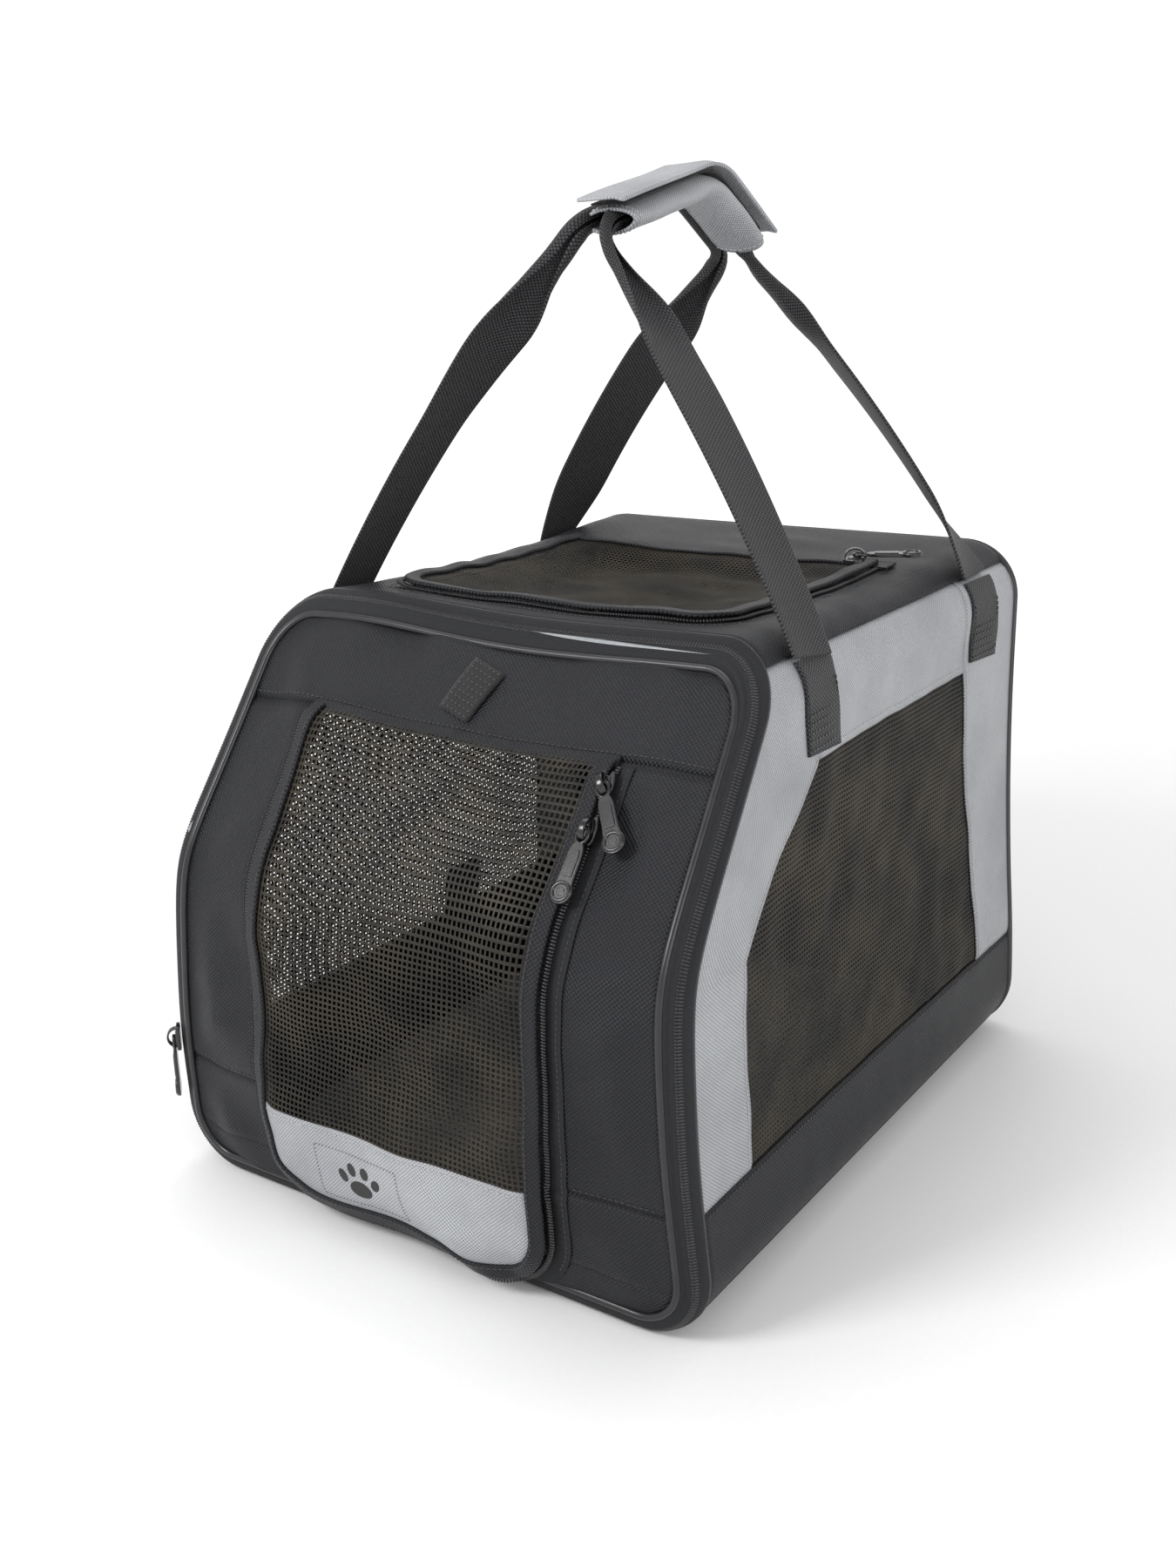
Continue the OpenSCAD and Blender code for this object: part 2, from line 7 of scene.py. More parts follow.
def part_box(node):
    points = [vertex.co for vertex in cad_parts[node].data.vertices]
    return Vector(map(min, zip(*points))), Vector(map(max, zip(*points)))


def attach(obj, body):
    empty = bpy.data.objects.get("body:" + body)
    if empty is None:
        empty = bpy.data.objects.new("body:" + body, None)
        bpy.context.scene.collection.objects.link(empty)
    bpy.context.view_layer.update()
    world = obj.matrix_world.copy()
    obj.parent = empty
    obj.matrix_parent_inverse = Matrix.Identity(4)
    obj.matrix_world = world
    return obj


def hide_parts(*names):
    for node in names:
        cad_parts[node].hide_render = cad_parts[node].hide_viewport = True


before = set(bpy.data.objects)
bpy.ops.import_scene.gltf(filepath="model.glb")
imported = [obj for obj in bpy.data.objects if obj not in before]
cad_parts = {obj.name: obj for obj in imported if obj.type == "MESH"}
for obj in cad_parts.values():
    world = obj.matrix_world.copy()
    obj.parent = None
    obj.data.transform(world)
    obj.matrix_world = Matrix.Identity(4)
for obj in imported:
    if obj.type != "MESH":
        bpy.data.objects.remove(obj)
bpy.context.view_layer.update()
SCENE = bpy.context.scene
MM = 0.001

# ---------- the bag's measurements, in millimetres, as in the CAD ----------

BODY_H = 340.0
BASE_HALF = 185.0
TOP_HALF = 167.0
CORNER_R = 38.0
EDGE_R = 10.0
FRONT_Y = -222.0
FOOT_Y = -214.0
KNEE_Z = 204.0
LEAN = 114.0
REAR_Y = 228.0
REAR_LEAN = 12.0
KNEE_BLEND = 20.0
CAD_KNEE_BLEND = 10.0
SETBACK = 12.8
TILT = math.atan2(BASE_HALF - TOP_HALF, BODY_H)
SEAM_Z = BODY_H - CORNER_R * (1 - math.sin(math.radians(45)))
FOOT_SEAM_Z = CORNER_R * (1 - math.sin(math.radians(45)))
BAND_H = 75.0
PIPING_INSET = 11.5
PANEL_INSET = 12.0
PIPING_R = 2.3
PIPING_SINK = 1.2

DOOR_HALF = 102.0
DOOR_TOP = 285.0
DOOR_FOOT = 13.0
DOOR_R = 34.0
DOOR_TAPER = 3.0
BINDING_W = 9.0

HATCH_HALF = 113.0
HATCH_FRONT = -72.0
HATCH_REAR = 126.0
HATCH_R = 26.0

WINDOW_FRONT = -152.0
WINDOW_KNEE_Z = 192.0
WINDOW_TOP = SEAM_Z - 56.0
WINDOW_TOP_FRONT = -64.0
WINDOW_REAR_TOP = 140.0
WINDOW_REAR_FOOT = 151.0

WEB_W = 38.0
FRONT_STRAP_Y = -60.0
REAR_STRAP_Y = 165.0
GRIP_Z = 566.0


def smooth(x, low, high):
    """0 below low, 1 above high, and a soft ramp between them."""
    t = np.clip((np.asarray(x, float) - low) / (high - low), 0, 1)
    return t * t * (3 - 2 * t)


def dip(distance, width):
    """1 on a seam, falling to 0 a few widths away from it."""
    return np.exp(-((distance / width) ** 2))


def side_x(z):
    """Half the body's width at height z."""
    return BASE_HALF - (BASE_HALF - TOP_HALF) * z / BODY_H


def front_at(z, blend=KNEE_BLEND):
    """Depth of the front at height z: two straight slopes with a rounded knee between them."""
    low = FOOT_Y + (FRONT_Y - FOOT_Y) * z / KNEE_Z
    high = FRONT_Y + LEAN * (z - KNEE_Z) / (BODY_H - KNEE_Z)
    return (low + high + np.sqrt((low - high) ** 2 + blend**2)) / 2


def rear_at(z):
    """Depth of the rear at height z."""
    return REAR_Y - REAR_LEAN * (1 - z / BODY_H)


def y_front(z):
    """Depth of the sleeve's front edge at height z."""
    return front_at(z) + SETBACK


def y_rear(z):
    """Depth of the sleeve's rear edge at height z."""
    return rear_at(z) - SETBACK


def depth_share(y, z):
    """Where a depth lies at height z between the sleeve's front edge, 0, and its rear edge, 1."""
    return (y - y_front(z)) / (y_rear(z) - y_front(z))


def ripple(u, v, wave, seed, count=7, spread=1.0, heading=0.0):
    """Smooth uneven folds, from about -1 to 1: a sum of waves whose headings lie round one direction."""
    rng = np.random.default_rng(seed)
    total = np.zeros(np.broadcast(u, v).shape)
    for _ in range(count):
        angle = heading + rng.uniform(-1, 1) * spread
        size = wave * rng.uniform(0.7, 1.7)
        phase = rng.uniform(0, 2 * math.pi)
        total += np.sin(2 * math.pi * (u * math.cos(angle) + v * math.sin(angle)) / size + phase)
    return total / count * 1.4


# ---------- the loop that both end panels and the sleeve share ----------

CENTRE_LOW = side_x(CORNER_R) - CORNER_R / math.cos(TILT)
CENTRE_HIGH = side_x(BODY_H - CORNER_R) - CORNER_R / math.cos(TILT)


def right_half():
    """The right half of the outline from the bottom centre to the top centre: x, z and the outward normal."""
    rows = [(x, 0.0, 0.0, -1.0) for x in np.arange(0, CENTRE_LOW, 5)]
    for a in np.arange(-90, math.degrees(TILT), 4):
        c, s = math.cos(math.radians(a)), math.sin(math.radians(a))
        rows.append((CENTRE_LOW + CORNER_R * c, CORNER_R + CORNER_R * s, c, s))
    c, s = math.cos(TILT), math.sin(TILT)
    low = (CENTRE_LOW + CORNER_R * c, CORNER_R + CORNER_R * s)
    high = (CENTRE_HIGH + CORNER_R * c, BODY_H - CORNER_R + CORNER_R * s)
    for t in np.linspace(0, 1, 54)[:-1]:
        rows.append((low[0] + (high[0] - low[0]) * t, low[1] + (high[1] - low[1]) * t, c, s))
    for a in np.arange(math.degrees(TILT), 90, 4):
        c, s = math.cos(math.radians(a)), math.sin(math.radians(a))
        rows.append((CENTRE_HIGH + CORNER_R * c, BODY_H - CORNER_R + CORNER_R * s, c, s))
    rows += [(x, BODY_H, 0.0, 1.0) for x in np.arange(CENTRE_HIGH, 0, -5)]
    rows.append((0.0, BODY_H, 0.0, 1.0))
    return np.array(rows)


RIGHT = right_half()
LEFT = RIGHT[::-1][1:] * np.array([-1, 1, -1, 1])
LOOP = np.vstack([RIGHT, LEFT])
LOOP_S = np.concatenate([[0], np.cumsum(np.hypot(*np.diff(LOOP[:, :2], axis=0).T))])
LOOP_LEN = LOOP_S[-1]
RIGHT_S = LOOP_S[: len(RIGHT)]
TOP_ROWS = 60


def loop_at(s):
    """x, z and outward normal on the outline at arc length s, anticlockwise from the bottom centre."""
    s = np.mod(s, LOOP_LEN)
    x, z, nx, nz = (np.interp(s, LOOP_S, LOOP[:, k]) for k in range(4))
    n = np.hypot(nx, nz)
    return x, z, nx / n, nz / n


def s_at_height(z, side):
    """Arc length at height z on the right side, or on the left."""
    s = np.interp(z, RIGHT[:, 1], RIGHT_S)
    return s if side > 0 else LOOP_LEN - s


def half_width(z, inset):
    """Half the width of an end panel at height z, this far inside the outline."""
    z = np.asarray(z, float)
    r = CORNER_R - inset
    high = CENTRE_HIGH + np.sqrt(np.maximum(r * r - np.maximum(z - BODY_H + CORNER_R, 0) ** 2, 0))
    low = CENTRE_LOW + np.sqrt(np.maximum(r * r - np.maximum(CORNER_R - z, 0) ** 2, 0))
    straight = side_x(z) - inset
    return np.where(z > BODY_H - CORNER_R, high, np.where(z < CORNER_R, low, straight))


# ---------- surfaces, each a function of two lengths that gives points ----------


def soften(p):
    """The slack of the whole soft bag, the same for every piece, so that neighbours stay together."""
    x, y, z = p[..., 0], p[..., 1], p[..., 2]
    high = smooth(z, 230, 345)
    front = smooth(-y, 40, 140)
    wave = 4.5 * np.exp(-(((x + 95) / 55) ** 2)) - 4.0 * np.exp(-(((x - 30) / 75) ** 2))
    dz = high * front * wave
    dz = dz - high * 2.0 * np.exp(-(((y - 60) / 110) ** 2)) * (1 - (x / 200) ** 2)
    lean = 2.5 * np.sin(x / 90 + 0.4) * high
    dx = 2.0 * np.sin(z / 70 + y / 120) * smooth(z, 20, 120)
    dy = 2.0 * np.sin(x / 75 + z / 60) * smooth(z, 20, 120) + lean
    return np.stack([x + dx, y + dy, z + dz], -1)


def front(x, z):
    """The front panel, over the door as well."""
    edge = smooth(half_width(z, PANEL_INSET) - np.abs(x), 2, 30)
    crown = 5.0 * edge * np.sin(np.pi * np.clip(z / BODY_H, 0, 1))
    belly = 6.0 * np.exp(-(((z - 55) / 60) ** 2)) * np.exp(-((x / 118) ** 4))
    folds = 3.0 * edge * ripple(x, z, 90, 3, heading=0.7, spread=0.6)
    small = 1.2 * edge * ripple(x, z, 30, 8, heading=2.2, spread=0.5)
    creases = np.maximum(ripple(x, z, 70, 17, heading=0.9, spread=0.4), 0) ** 2 * 4.0 * edge
    seams = 1.6 * dip(z - DOOR_TOP, 3.0) * (np.abs(x) > 0)
    seams = seams + 1.2 * dip(z - BAND_H, 3.0) * (np.abs(x) > DOOR_HALF)
    calm = 1 - 0.55 * dip(np.abs(x) - DOOR_HALF, 16)
    out = crown + belly + (folds + small + creases) * calm - seams
    slope = smooth(z, KNEE_Z - 14, KNEE_Z + 14)
    return np.stack([x + 0 * z, front_at(z) - out * (1 - 0.25 * slope), z + 0.55 * out * slope], -1)


def rear(x, z):
    """The rear panel."""
    edge = smooth(half_width(z, PANEL_INSET) - np.abs(x), 2, 30)
    crown = 4.0 * edge * np.sin(np.pi * z / BODY_H)
    folds = 2.0 * edge * ripple(x, z, 100, 21, heading=0.9, spread=0.7)
    out = crown + folds - 1.2 * dip(z - BAND_H, 3.0)
    return np.stack([x + 0 * z, rear_at(z) + out, z + 0 * x], -1)


def sleeve(s, t):
    """The sleeve between the ends: s runs round the outline, t from the front edge, 0, to the rear, 1."""
    x, z, nx, nz = loop_at(s)
    y = y_front(z) + (y_rear(z) - y_front(z)) * t
    middle = smooth(t, 0, 0.12) * smooth(1 - t, 0, 0.12)
    top = smooth(nz, 0.6, 1.0)
    side = smooth(np.abs(nx), 0.6, 1.0)
    out = -5.0 * top * np.sin(np.pi * t)
    out = out - 5.0 * side * np.sin(np.pi * t) * np.sin(np.pi * np.clip(z / BODY_H, 0, 1))
    above = 0.25 + 0.75 * smooth(z, 60, 110)
    out = out + middle * above * (1.8 * top + 1.6 * side) * ripple(s, y, 95, 11, heading=0.8, spread=0.8)
    out = out + middle * above * 0.6 * (top + side) * ripple(s, y, 36, 12, heading=2.0, spread=0.6)
    for height in (SEAM_Z, BAND_H):
        out = out - 1.0 * dip(z - height, 3.0) * smooth(np.abs(x), 100, 120)
    out = out * smooth(z, 2, 30)
    return np.stack([x + nx * out, y, z + nz * out], -1)


def side_wall(side):
    """One side of the sleeve as a function of depth and height."""

    def at(y, z):
        return sleeve(s_at_height(z, side), depth_share(y, z))

    return at


def sleeve_at(s, y):
    """The sleeve at arc length s and depth y."""
    return sleeve(s, depth_share(y, loop_at(s)[1]))


def top_wall(x, y):
    """The top of the sleeve as a function of x and depth."""
    x, y = np.broadcast_arrays(np.asarray(x, float), np.asarray(y, float))
    edge = np.interp(np.abs(x), RIGHT[::-1][:TOP_ROWS, 0], RIGHT_S[::-1][:TOP_ROWS])
    return sleeve_at(np.where(x >= 0, edge, LOOP_LEN - edge), y)


def edge_band(is_front):
    """The rounded zipped edge of an end: s round the outline, a from the panel, 0, to the sleeve, 90."""

    def at(s, a):
        x, z, nx, nz = loop_at(s)
        a = np.radians(a)
        inset = EDGE_R * (1 - np.sin(a))
        z = np.maximum(z - inset * nz, 0.6)
        x = x - inset * nx
        setback = EDGE_R * (1 - np.cos(a))
        y = front_at(z) + setback if is_front else rear_at(z) - setback
        return np.stack(np.broadcast_arrays(x, y, z), -1)

    return at


def door_skin(x, z):
    """The door, standing a little proud of the front panel and fuller near its foot."""
    p = front(x, z)
    inside = smooth(DOOR_HALF + 4 - np.abs(x), 0, 26) * smooth(z, DOOR_FOOT - 4, DOOR_FOOT + 24)
    stand = 3.6 + 3.5 * inside + 4.0 * inside * np.exp(-(((z - 60) / 60) ** 2))
    stand = stand * smooth(DOOR_TOP + 2 - z, -2, 14) + 1.0
    slope = smooth(z, KNEE_Z - 14, KNEE_Z + 14)
    return p + np.stack([0 * stand, -stand * (1 - 0.25 * slope), 0.6 * stand * slope], -1)


def hatch_skin(x, y):
    """The hatch, which sags between its edges."""
    p = top_wall(x, y)
    along = smooth(y - HATCH_FRONT, 0, 60) * smooth(HATCH_REAR - y, 0, 50)
    inside = smooth(HATCH_HALF - np.abs(x), 0, 60) * along
    lift = 3.2 - 7.0 * inside + 2.2 * np.exp(-(((x + HATCH_HALF) / 14) ** 2))
    return p + np.stack([0 * lift, 0 * lift, lift], -1)


def lifted(surface, u, v, height, flip=1.0):
    """Points at a height above a surface, with its tangents and outward normal."""
    u, v = np.broadcast_arrays(np.asarray(u, float), np.asarray(v, float))
    e = 0.4
    du = (soften(surface(u + e, v)) - soften(surface(u - e, v))) / (2 * e)
    dv = (soften(surface(u, v + e)) - soften(surface(u, v - e))) / (2 * e)
    n = np.cross(du, dv) * flip
    n = n / np.maximum(np.linalg.norm(n, axis=-1, keepdims=True), 1e-9)
    height = np.broadcast_to(np.asarray(height, float), u.shape)[..., None]
    return soften(surface(u, v)) + n * height, du, dv, n


# ---------- mesh making ----------


def new_object(name, verts, faces, uv=None, material=None, smooth_faces=True):
    """A mesh object from points in millimetres. uv holds one pair per vertex, in metres."""
    mesh = bpy.data.meshes.new(name)
    mesh.from_pydata((np.asarray(verts, float) * MM).tolist(), [], [tuple(int(i) for i in f) for f in faces])
    if uv is not None:
        layer = mesh.uv_layers.new(name="Cloth")
        corner = np.zeros(len(mesh.loops), dtype=np.int64)
        mesh.loops.foreach_get("vertex_index", corner)
        layer.data.foreach_set("uv", np.asarray(uv, float)[corner].astype(np.float32).ravel())
    if smooth_faces:
        mesh.polygons.foreach_set("use_smooth", [True] * len(mesh.polygons))
    mesh.update()
    obj = bpy.data.objects.new(name, mesh)
    SCENE.collection.objects.link(obj)
    if material is not None:
        mesh.materials.append(material)
    return obj


def grid_faces(n, m, flip=False):
    """Quads of an n by m grid of points."""
    i, j = np.meshgrid(np.arange(n - 1), np.arange(m - 1), indexing="ij")
    a = (i * m + j).ravel()
    quads = np.stack([a, a + m, a + m + 1, a + 1], -1)
    return quads[:, ::-1] if flip else quads


def grid_uv(p):
    """Lengths along both directions of a grid of points, in metres, so that a weave keeps its size."""
    du = np.linalg.norm(np.diff(p, axis=0), axis=-1)
    dv = np.linalg.norm(np.diff(p, axis=1), axis=-1)
    u = np.concatenate([np.zeros((1, p.shape[1])), np.cumsum(du, 0)])
    v = np.concatenate([np.zeros((p.shape[0], 1)), np.cumsum(dv, 1)], 1)
    u = u - u.mean(0)
    v = v - v.mean(1)[:, None]
    return np.stack([u, v], -1).reshape(-1, 2) * MM


def cloth_thickness(obj, thick):
    """Gives a sheet its thickness, inward from its face."""
    solid = obj.modifiers.new("cloth", "SOLIDIFY")
    solid.thickness = thick * MM
    solid.offset = -1.0
    solid.use_rim = True
    return obj


def sheet_piece(name, points, material, flip=False, thick=1.0):
    """A piece of cloth from a grid of points."""
    n, m = points.shape[:2]
    obj = new_object(name, points.reshape(-1, 3), grid_faces(n, m, flip), grid_uv(points), material)
    return cloth_thickness(obj, thick)


def rows_patch(name, surface, rows, low, high, material, flip=False, cell=5.0, height=0.0):
    """A panel between two curves: v takes each row's value, and u runs from low(v) to high(v)."""
    rows = np.asarray(rows, float)
    a = np.broadcast_to(low(rows), rows.shape)
    b = np.broadcast_to(high(rows), rows.shape)
    count = max(3, int(np.max(np.abs(b - a)) / cell) + 1)
    w = np.linspace(0, 1, count)
    u = a[:, None] + (b - a)[:, None] * w
    v = np.repeat(rows[:, None], count, 1)
    p = lifted(surface, u, v, height, -1.0 if flip else 1.0)[0]
    return sheet_piece(name, p, material, not flip)


def between(a, b, step):
    """Evenly spaced values from a to b, about a step apart."""
    return np.linspace(a, b, max(2, int(abs(b - a) / step) + 1))


def frames_along(path, hint, closed):
    """Side and up directions at each point of a path. hint holds rough up directions."""
    path = np.asarray(path, float)
    if closed:
        t = np.roll(path, -1, 0) - np.roll(path, 1, 0)
    else:
        t = np.gradient(path, axis=0)
    t = t / np.maximum(np.linalg.norm(t, axis=1, keepdims=True), 1e-9)
    up = np.asarray(hint, float) * np.ones_like(path)
    up = up - (up * t).sum(1, keepdims=True) * t
    up = up / np.maximum(np.linalg.norm(up, axis=1, keepdims=True), 1e-9)
    return np.cross(t, up), up


def sweep_piece(name, path, up, section, material, closed=False):
    """A section, as pairs across and up, carried along a path."""
    path = np.asarray(path, float)
    side, up = frames_along(path, up, closed)
    section = np.asarray(section, float)
    m = len(section)
    ring = path[:, None] + side[:, None] * section[None, :, 0:1] + up[:, None] * section[None, :, 1:2]
    around = np.linalg.norm(np.diff(np.vstack([section, section[:1]]), axis=0), axis=1)
    around = np.concatenate([[0], np.cumsum(around)])
    along = np.concatenate([[0], np.cumsum(np.linalg.norm(np.diff(path, axis=0), axis=1))])
    ring = np.concatenate([ring, ring[:, :1]], 1)
    if closed:
        ring = np.concatenate([ring, ring[:1]], 0)
        along = np.append(along, along[-1] + np.linalg.norm(path[0] - path[-1]))
    rows = len(ring)
    u, v = np.meshgrid(around, along)
    uv = np.stack([u - around[-1] / 2, v], -1).reshape(-1, 2) * MM
    verts = ring.reshape(-1, 3)
    faces = [tuple(f) for f in grid_faces(rows, m + 1, True)]
    if not closed:
        faces.append(tuple(range(m)))
        faces.append(tuple((rows - 1) * (m + 1) + k for k in reversed(range(m))))
    obj = new_object(name, verts, faces, uv, material)
    join_seam(obj)
    return obj


def join_seam(obj):
    """Welds the two edges where a swept section or a closed loop meets itself."""
    weld = obj.modifiers.new("seam", "WELD")
    weld.merge_threshold = 0.00002


def round_section(r, sides=10):
    """A round tube's section."""
    a = np.linspace(0, 2 * math.pi, sides, endpoint=False)
    return np.stack([r * np.cos(a), r * np.sin(a)], -1)


def flat_section(half, thick, n=7, edge=3):
    """A strip with rounded edges, thick at its full thickness, its underside at height 0."""
    r = thick / 2
    across = np.linspace(-half + r, half - r, n)
    top = [(x, thick) for x in across[::-1]]
    low = [(x, 0.0) for x in across]
    bend = np.radians(np.linspace(-90, 90, edge + 2)[1:-1])
    right = [(half - r + r * math.cos(a), r + r * math.sin(a)) for a in bend]
    left = [(-x, thick - y) for x, y in right]
    return np.array(low + right + top + left)


def stamp(name, shape, faces, at, along, up, material):
    """Copies a small shape to many places. Its X goes along, Y to the side and Z up."""
    at, along = np.asarray(at, float), np.asarray(along, float)
    along = along / np.maximum(np.linalg.norm(along, axis=1, keepdims=True), 1e-9)
    up = np.asarray(up, float)
    up = up - (up * along).sum(1, keepdims=True) * along
    up = up / np.maximum(np.linalg.norm(up, axis=1, keepdims=True), 1e-9)
    side = np.cross(up, along)
    shape = np.asarray(shape, float)
    verts = (
        at[:, None]
        + shape[None, :, 0:1] * along[:, None]
        + shape[None, :, 1:2] * side[:, None]
        + shape[None, :, 2:3] * up[:, None]
    )
    k = len(shape)
    all_faces = [tuple(i * k + v for v in f) for i in range(len(at)) for f in faces]
    uv = np.tile(shape[:, :2] * MM, (len(at), 1))
    return new_object(name, verts.reshape(-1, 3), all_faces, uv, material)


def spindle(length, radius, sides=5):
    """A stitch: a short thread that dips in at both ends."""
    verts = [(-length / 2, 0, -radius)]
    for x in (-length * 0.32, length * 0.32):
        for i in range(sides):
            a = 2 * math.pi * i / sides
            verts.append((x, radius * math.cos(a), radius * math.sin(a)))
    verts.append((length / 2, 0, -radius))
    last = len(verts) - 1
    faces = [(0, 1 + (i + 1) % sides, 1 + i) for i in range(sides)]
    faces += [(1 + i, 1 + (i + 1) % sides, 1 + sides + (i + 1) % sides, 1 + sides + i) for i in range(sides)]
    faces += [(last, 1 + sides + i, 1 + sides + (i + 1) % sides) for i in range(sides)]
    return verts, faces


def evenly(path, up, pitch):
    """Points a pitch apart along a path, with their direction and up vectors."""
    path, up = np.asarray(path, float), np.asarray(up, float) * np.ones_like(path)
    run = np.concatenate([[0], np.cumsum(np.linalg.norm(np.diff(path, axis=0), axis=1))])
    at = np.arange(pitch / 2, run[-1], pitch)

    def sample(values, where):
        return np.stack([np.interp(where, run, values[:, k]) for k in range(3)], -1)

    return sample(path, at), sample(path, at + 0.5) - sample(path, at - 0.5), sample(up, at)


def join(name, objects):
    """Makes one object of several that share their materials."""
    bpy.ops.object.select_all(action="DESELECT")
    for o in objects:
        o.select_set(True)
    bpy.context.view_layer.objects.active = objects[0]
    with bpy.context.temp_override(active_object=objects[0], selected_editable_objects=objects):
        bpy.ops.object.join()
    objects[0].name = name
    return objects[0]


def apply_modifiers(obj):
    """Makes an object's modifiers part of its mesh."""
    bpy.context.view_layer.update()
    graph = bpy.context.evaluated_depsgraph_get()
    mesh = bpy.data.meshes.new_from_object(obj.evaluated_get(graph))
    obj.modifiers.clear()
    obj.data = mesh
    return obj


def finish_piece(obj, body, nodes=()):
    """Fixes a piece to its body and hides the CAD parts that it stands for."""
    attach(obj, body)
    if nodes:
        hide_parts(*nodes)


# ---------- materials ----------


class Nodes:
    """A short way to build one material's nodes."""

    def __init__(self, name):
        self.material = bpy.data.materials.new(name)
        self.material.use_nodes = True
        self.tree = self.material.node_tree
        self.shader = self.tree.nodes["Principled BSDF"]

    def put(self, kind, inputs=(), **settings):
        node = self.tree.nodes.new(kind)
        for key, value in settings.items():
            setattr(node, key, value)
        for key, value in dict(inputs).items():
            self.feed(node, key, value)
        return node

    def feed(self, node, key, value):
        socket = node.inputs[key]
        if isinstance(value, bpy.types.NodeSocket):
            self.tree.links.new(value, socket)
        else:
            socket.default_value = value

    def math(self, operation, a, b=0.0):
        return self.put("ShaderNodeMath", {0: a, 1: b}, operation=operation).outputs[0]

    def noise(self, vector, scale, detail=3.0, roughness=0.55):
        fields = {"Vector": vector, "Scale": scale, "Detail": detail, "Roughness": roughness}
        return self.put("ShaderNodeTexNoise", fields).outputs["Fac"]

    def ramp(self, value, low, high, at=(0.0, 1.0)):
        node = self.put("ShaderNodeValToRGB", {"Fac": value})
        node.color_ramp.elements[0].position = at[0]
        node.color_ramp.elements[1].position = at[1]
        node.color_ramp.elements[0].color = (*low, 1)
        node.color_ramp.elements[1].color = (*high, 1)
        return node.outputs["Color"]

    def span(self, value, low, high):
        fields = {"Value": value, "To Min": low, "To Max": high}
        return self.put("ShaderNodeMapRange", fields).outputs["Result"]

    def multiply(self, a, b, factor=1.0):
        node = self.put("ShaderNodeMix", data_type="RGBA", blend_type="MULTIPLY")
        node.inputs[0].default_value = factor
        self.feed(node, 6, a)
        self.feed(node, 7, b)
        return node.outputs[2]

    def bump(self, height, distance, strength=1.0):
        fields = {"Height": height, "Distance": distance * MM, "Strength": strength}
        self.feed(self.shader, "Normal", self.put("ShaderNodeBump", fields).outputs["Normal"])

    def finish(self, **values):
        for key, value in values.items():
            self.feed(self.shader, key.replace("_", " "), value)
        return self.material


def weave_height(m, uv, pitch):
    """Threads that go over and under each other: two sets of ribs that take turns on a chequer."""
    parts = m.put("ShaderNodeSeparateXYZ", {"Vector": uv})
    k = math.pi / (pitch * MM)
    su = m.math("SINE", m.math("MULTIPLY", parts.outputs["X"], k))
    sv = m.math("SINE", m.math("MULTIPLY", parts.outputs["Y"], k))
    turn = m.math("MULTIPLY", su, sv)
    return m.math("ADD", m.math("MULTIPLY", turn, 0.5), 0.5)


def oxford(name, dark, light, rough, pitch=1.3, sheen=0.06, soil=0.0, gloss=0.25):
    """Coarse coated polyester: a basket weave, soft mottling from the coating and faint wear."""
    m = Nodes(name)
    coords = m.put("ShaderNodeTexCoord")
    uv = coords.outputs["UV"]
    place = coords.outputs["Object"]
    weave = weave_height(m, uv, pitch)
    threads = m.noise(uv, 1500.0, 2.0)
    cloud = m.noise(place, 14.0, 4.0)
    colour = m.ramp(weave, dark, light, (0.05, 0.95))
    tone = m.ramp(cloud, (0.80, 0.80, 0.81), (1.0, 1.0, 1.0), (0.35, 0.65))
    colour = m.multiply(colour, tone)
    colour = m.multiply(colour, m.ramp(threads, (0.72, 0.72, 0.74), (1.0, 1.0, 1.0), (0.3, 0.7)))
    if soil:
        dust = m.noise(place, 60.0, 5.0, 0.7)
        colour = m.multiply(colour, m.ramp(dust, (0.86, 0.85, 0.82), (1.0, 1.0, 1.0), (0.42, 0.5)), soil)
    height = m.math("ADD", weave, m.math("MULTIPLY", threads, 0.35))
    m.bump(height, 0.42, 1.0)
    return m.finish(
        Base_Color=colour,
        Roughness=m.span(cloud, rough - 0.06, rough + 0.08),
        Sheen_Weight=sheen,
        Sheen_Roughness=0.4,
        Specular_IOR_Level=gloss,
    )


def netting(name, dark, light):
    """Vinyl-coated threads with a soft gloss."""
    m = Nodes(name)
    place = m.put("ShaderNodeTexCoord").outputs["Object"]
    cloud = m.noise(place, 25.0, 3.0)
    grain = m.noise(place, 1800.0, 2.0)
    colour = m.ramp(cloud, dark, light, (0.35, 0.65))
    m.bump(grain, 0.05, 0.5)
    return m.finish(Base_Color=colour, Roughness=m.span(grain, 0.4, 0.55), Specular_IOR_Level=0.25)


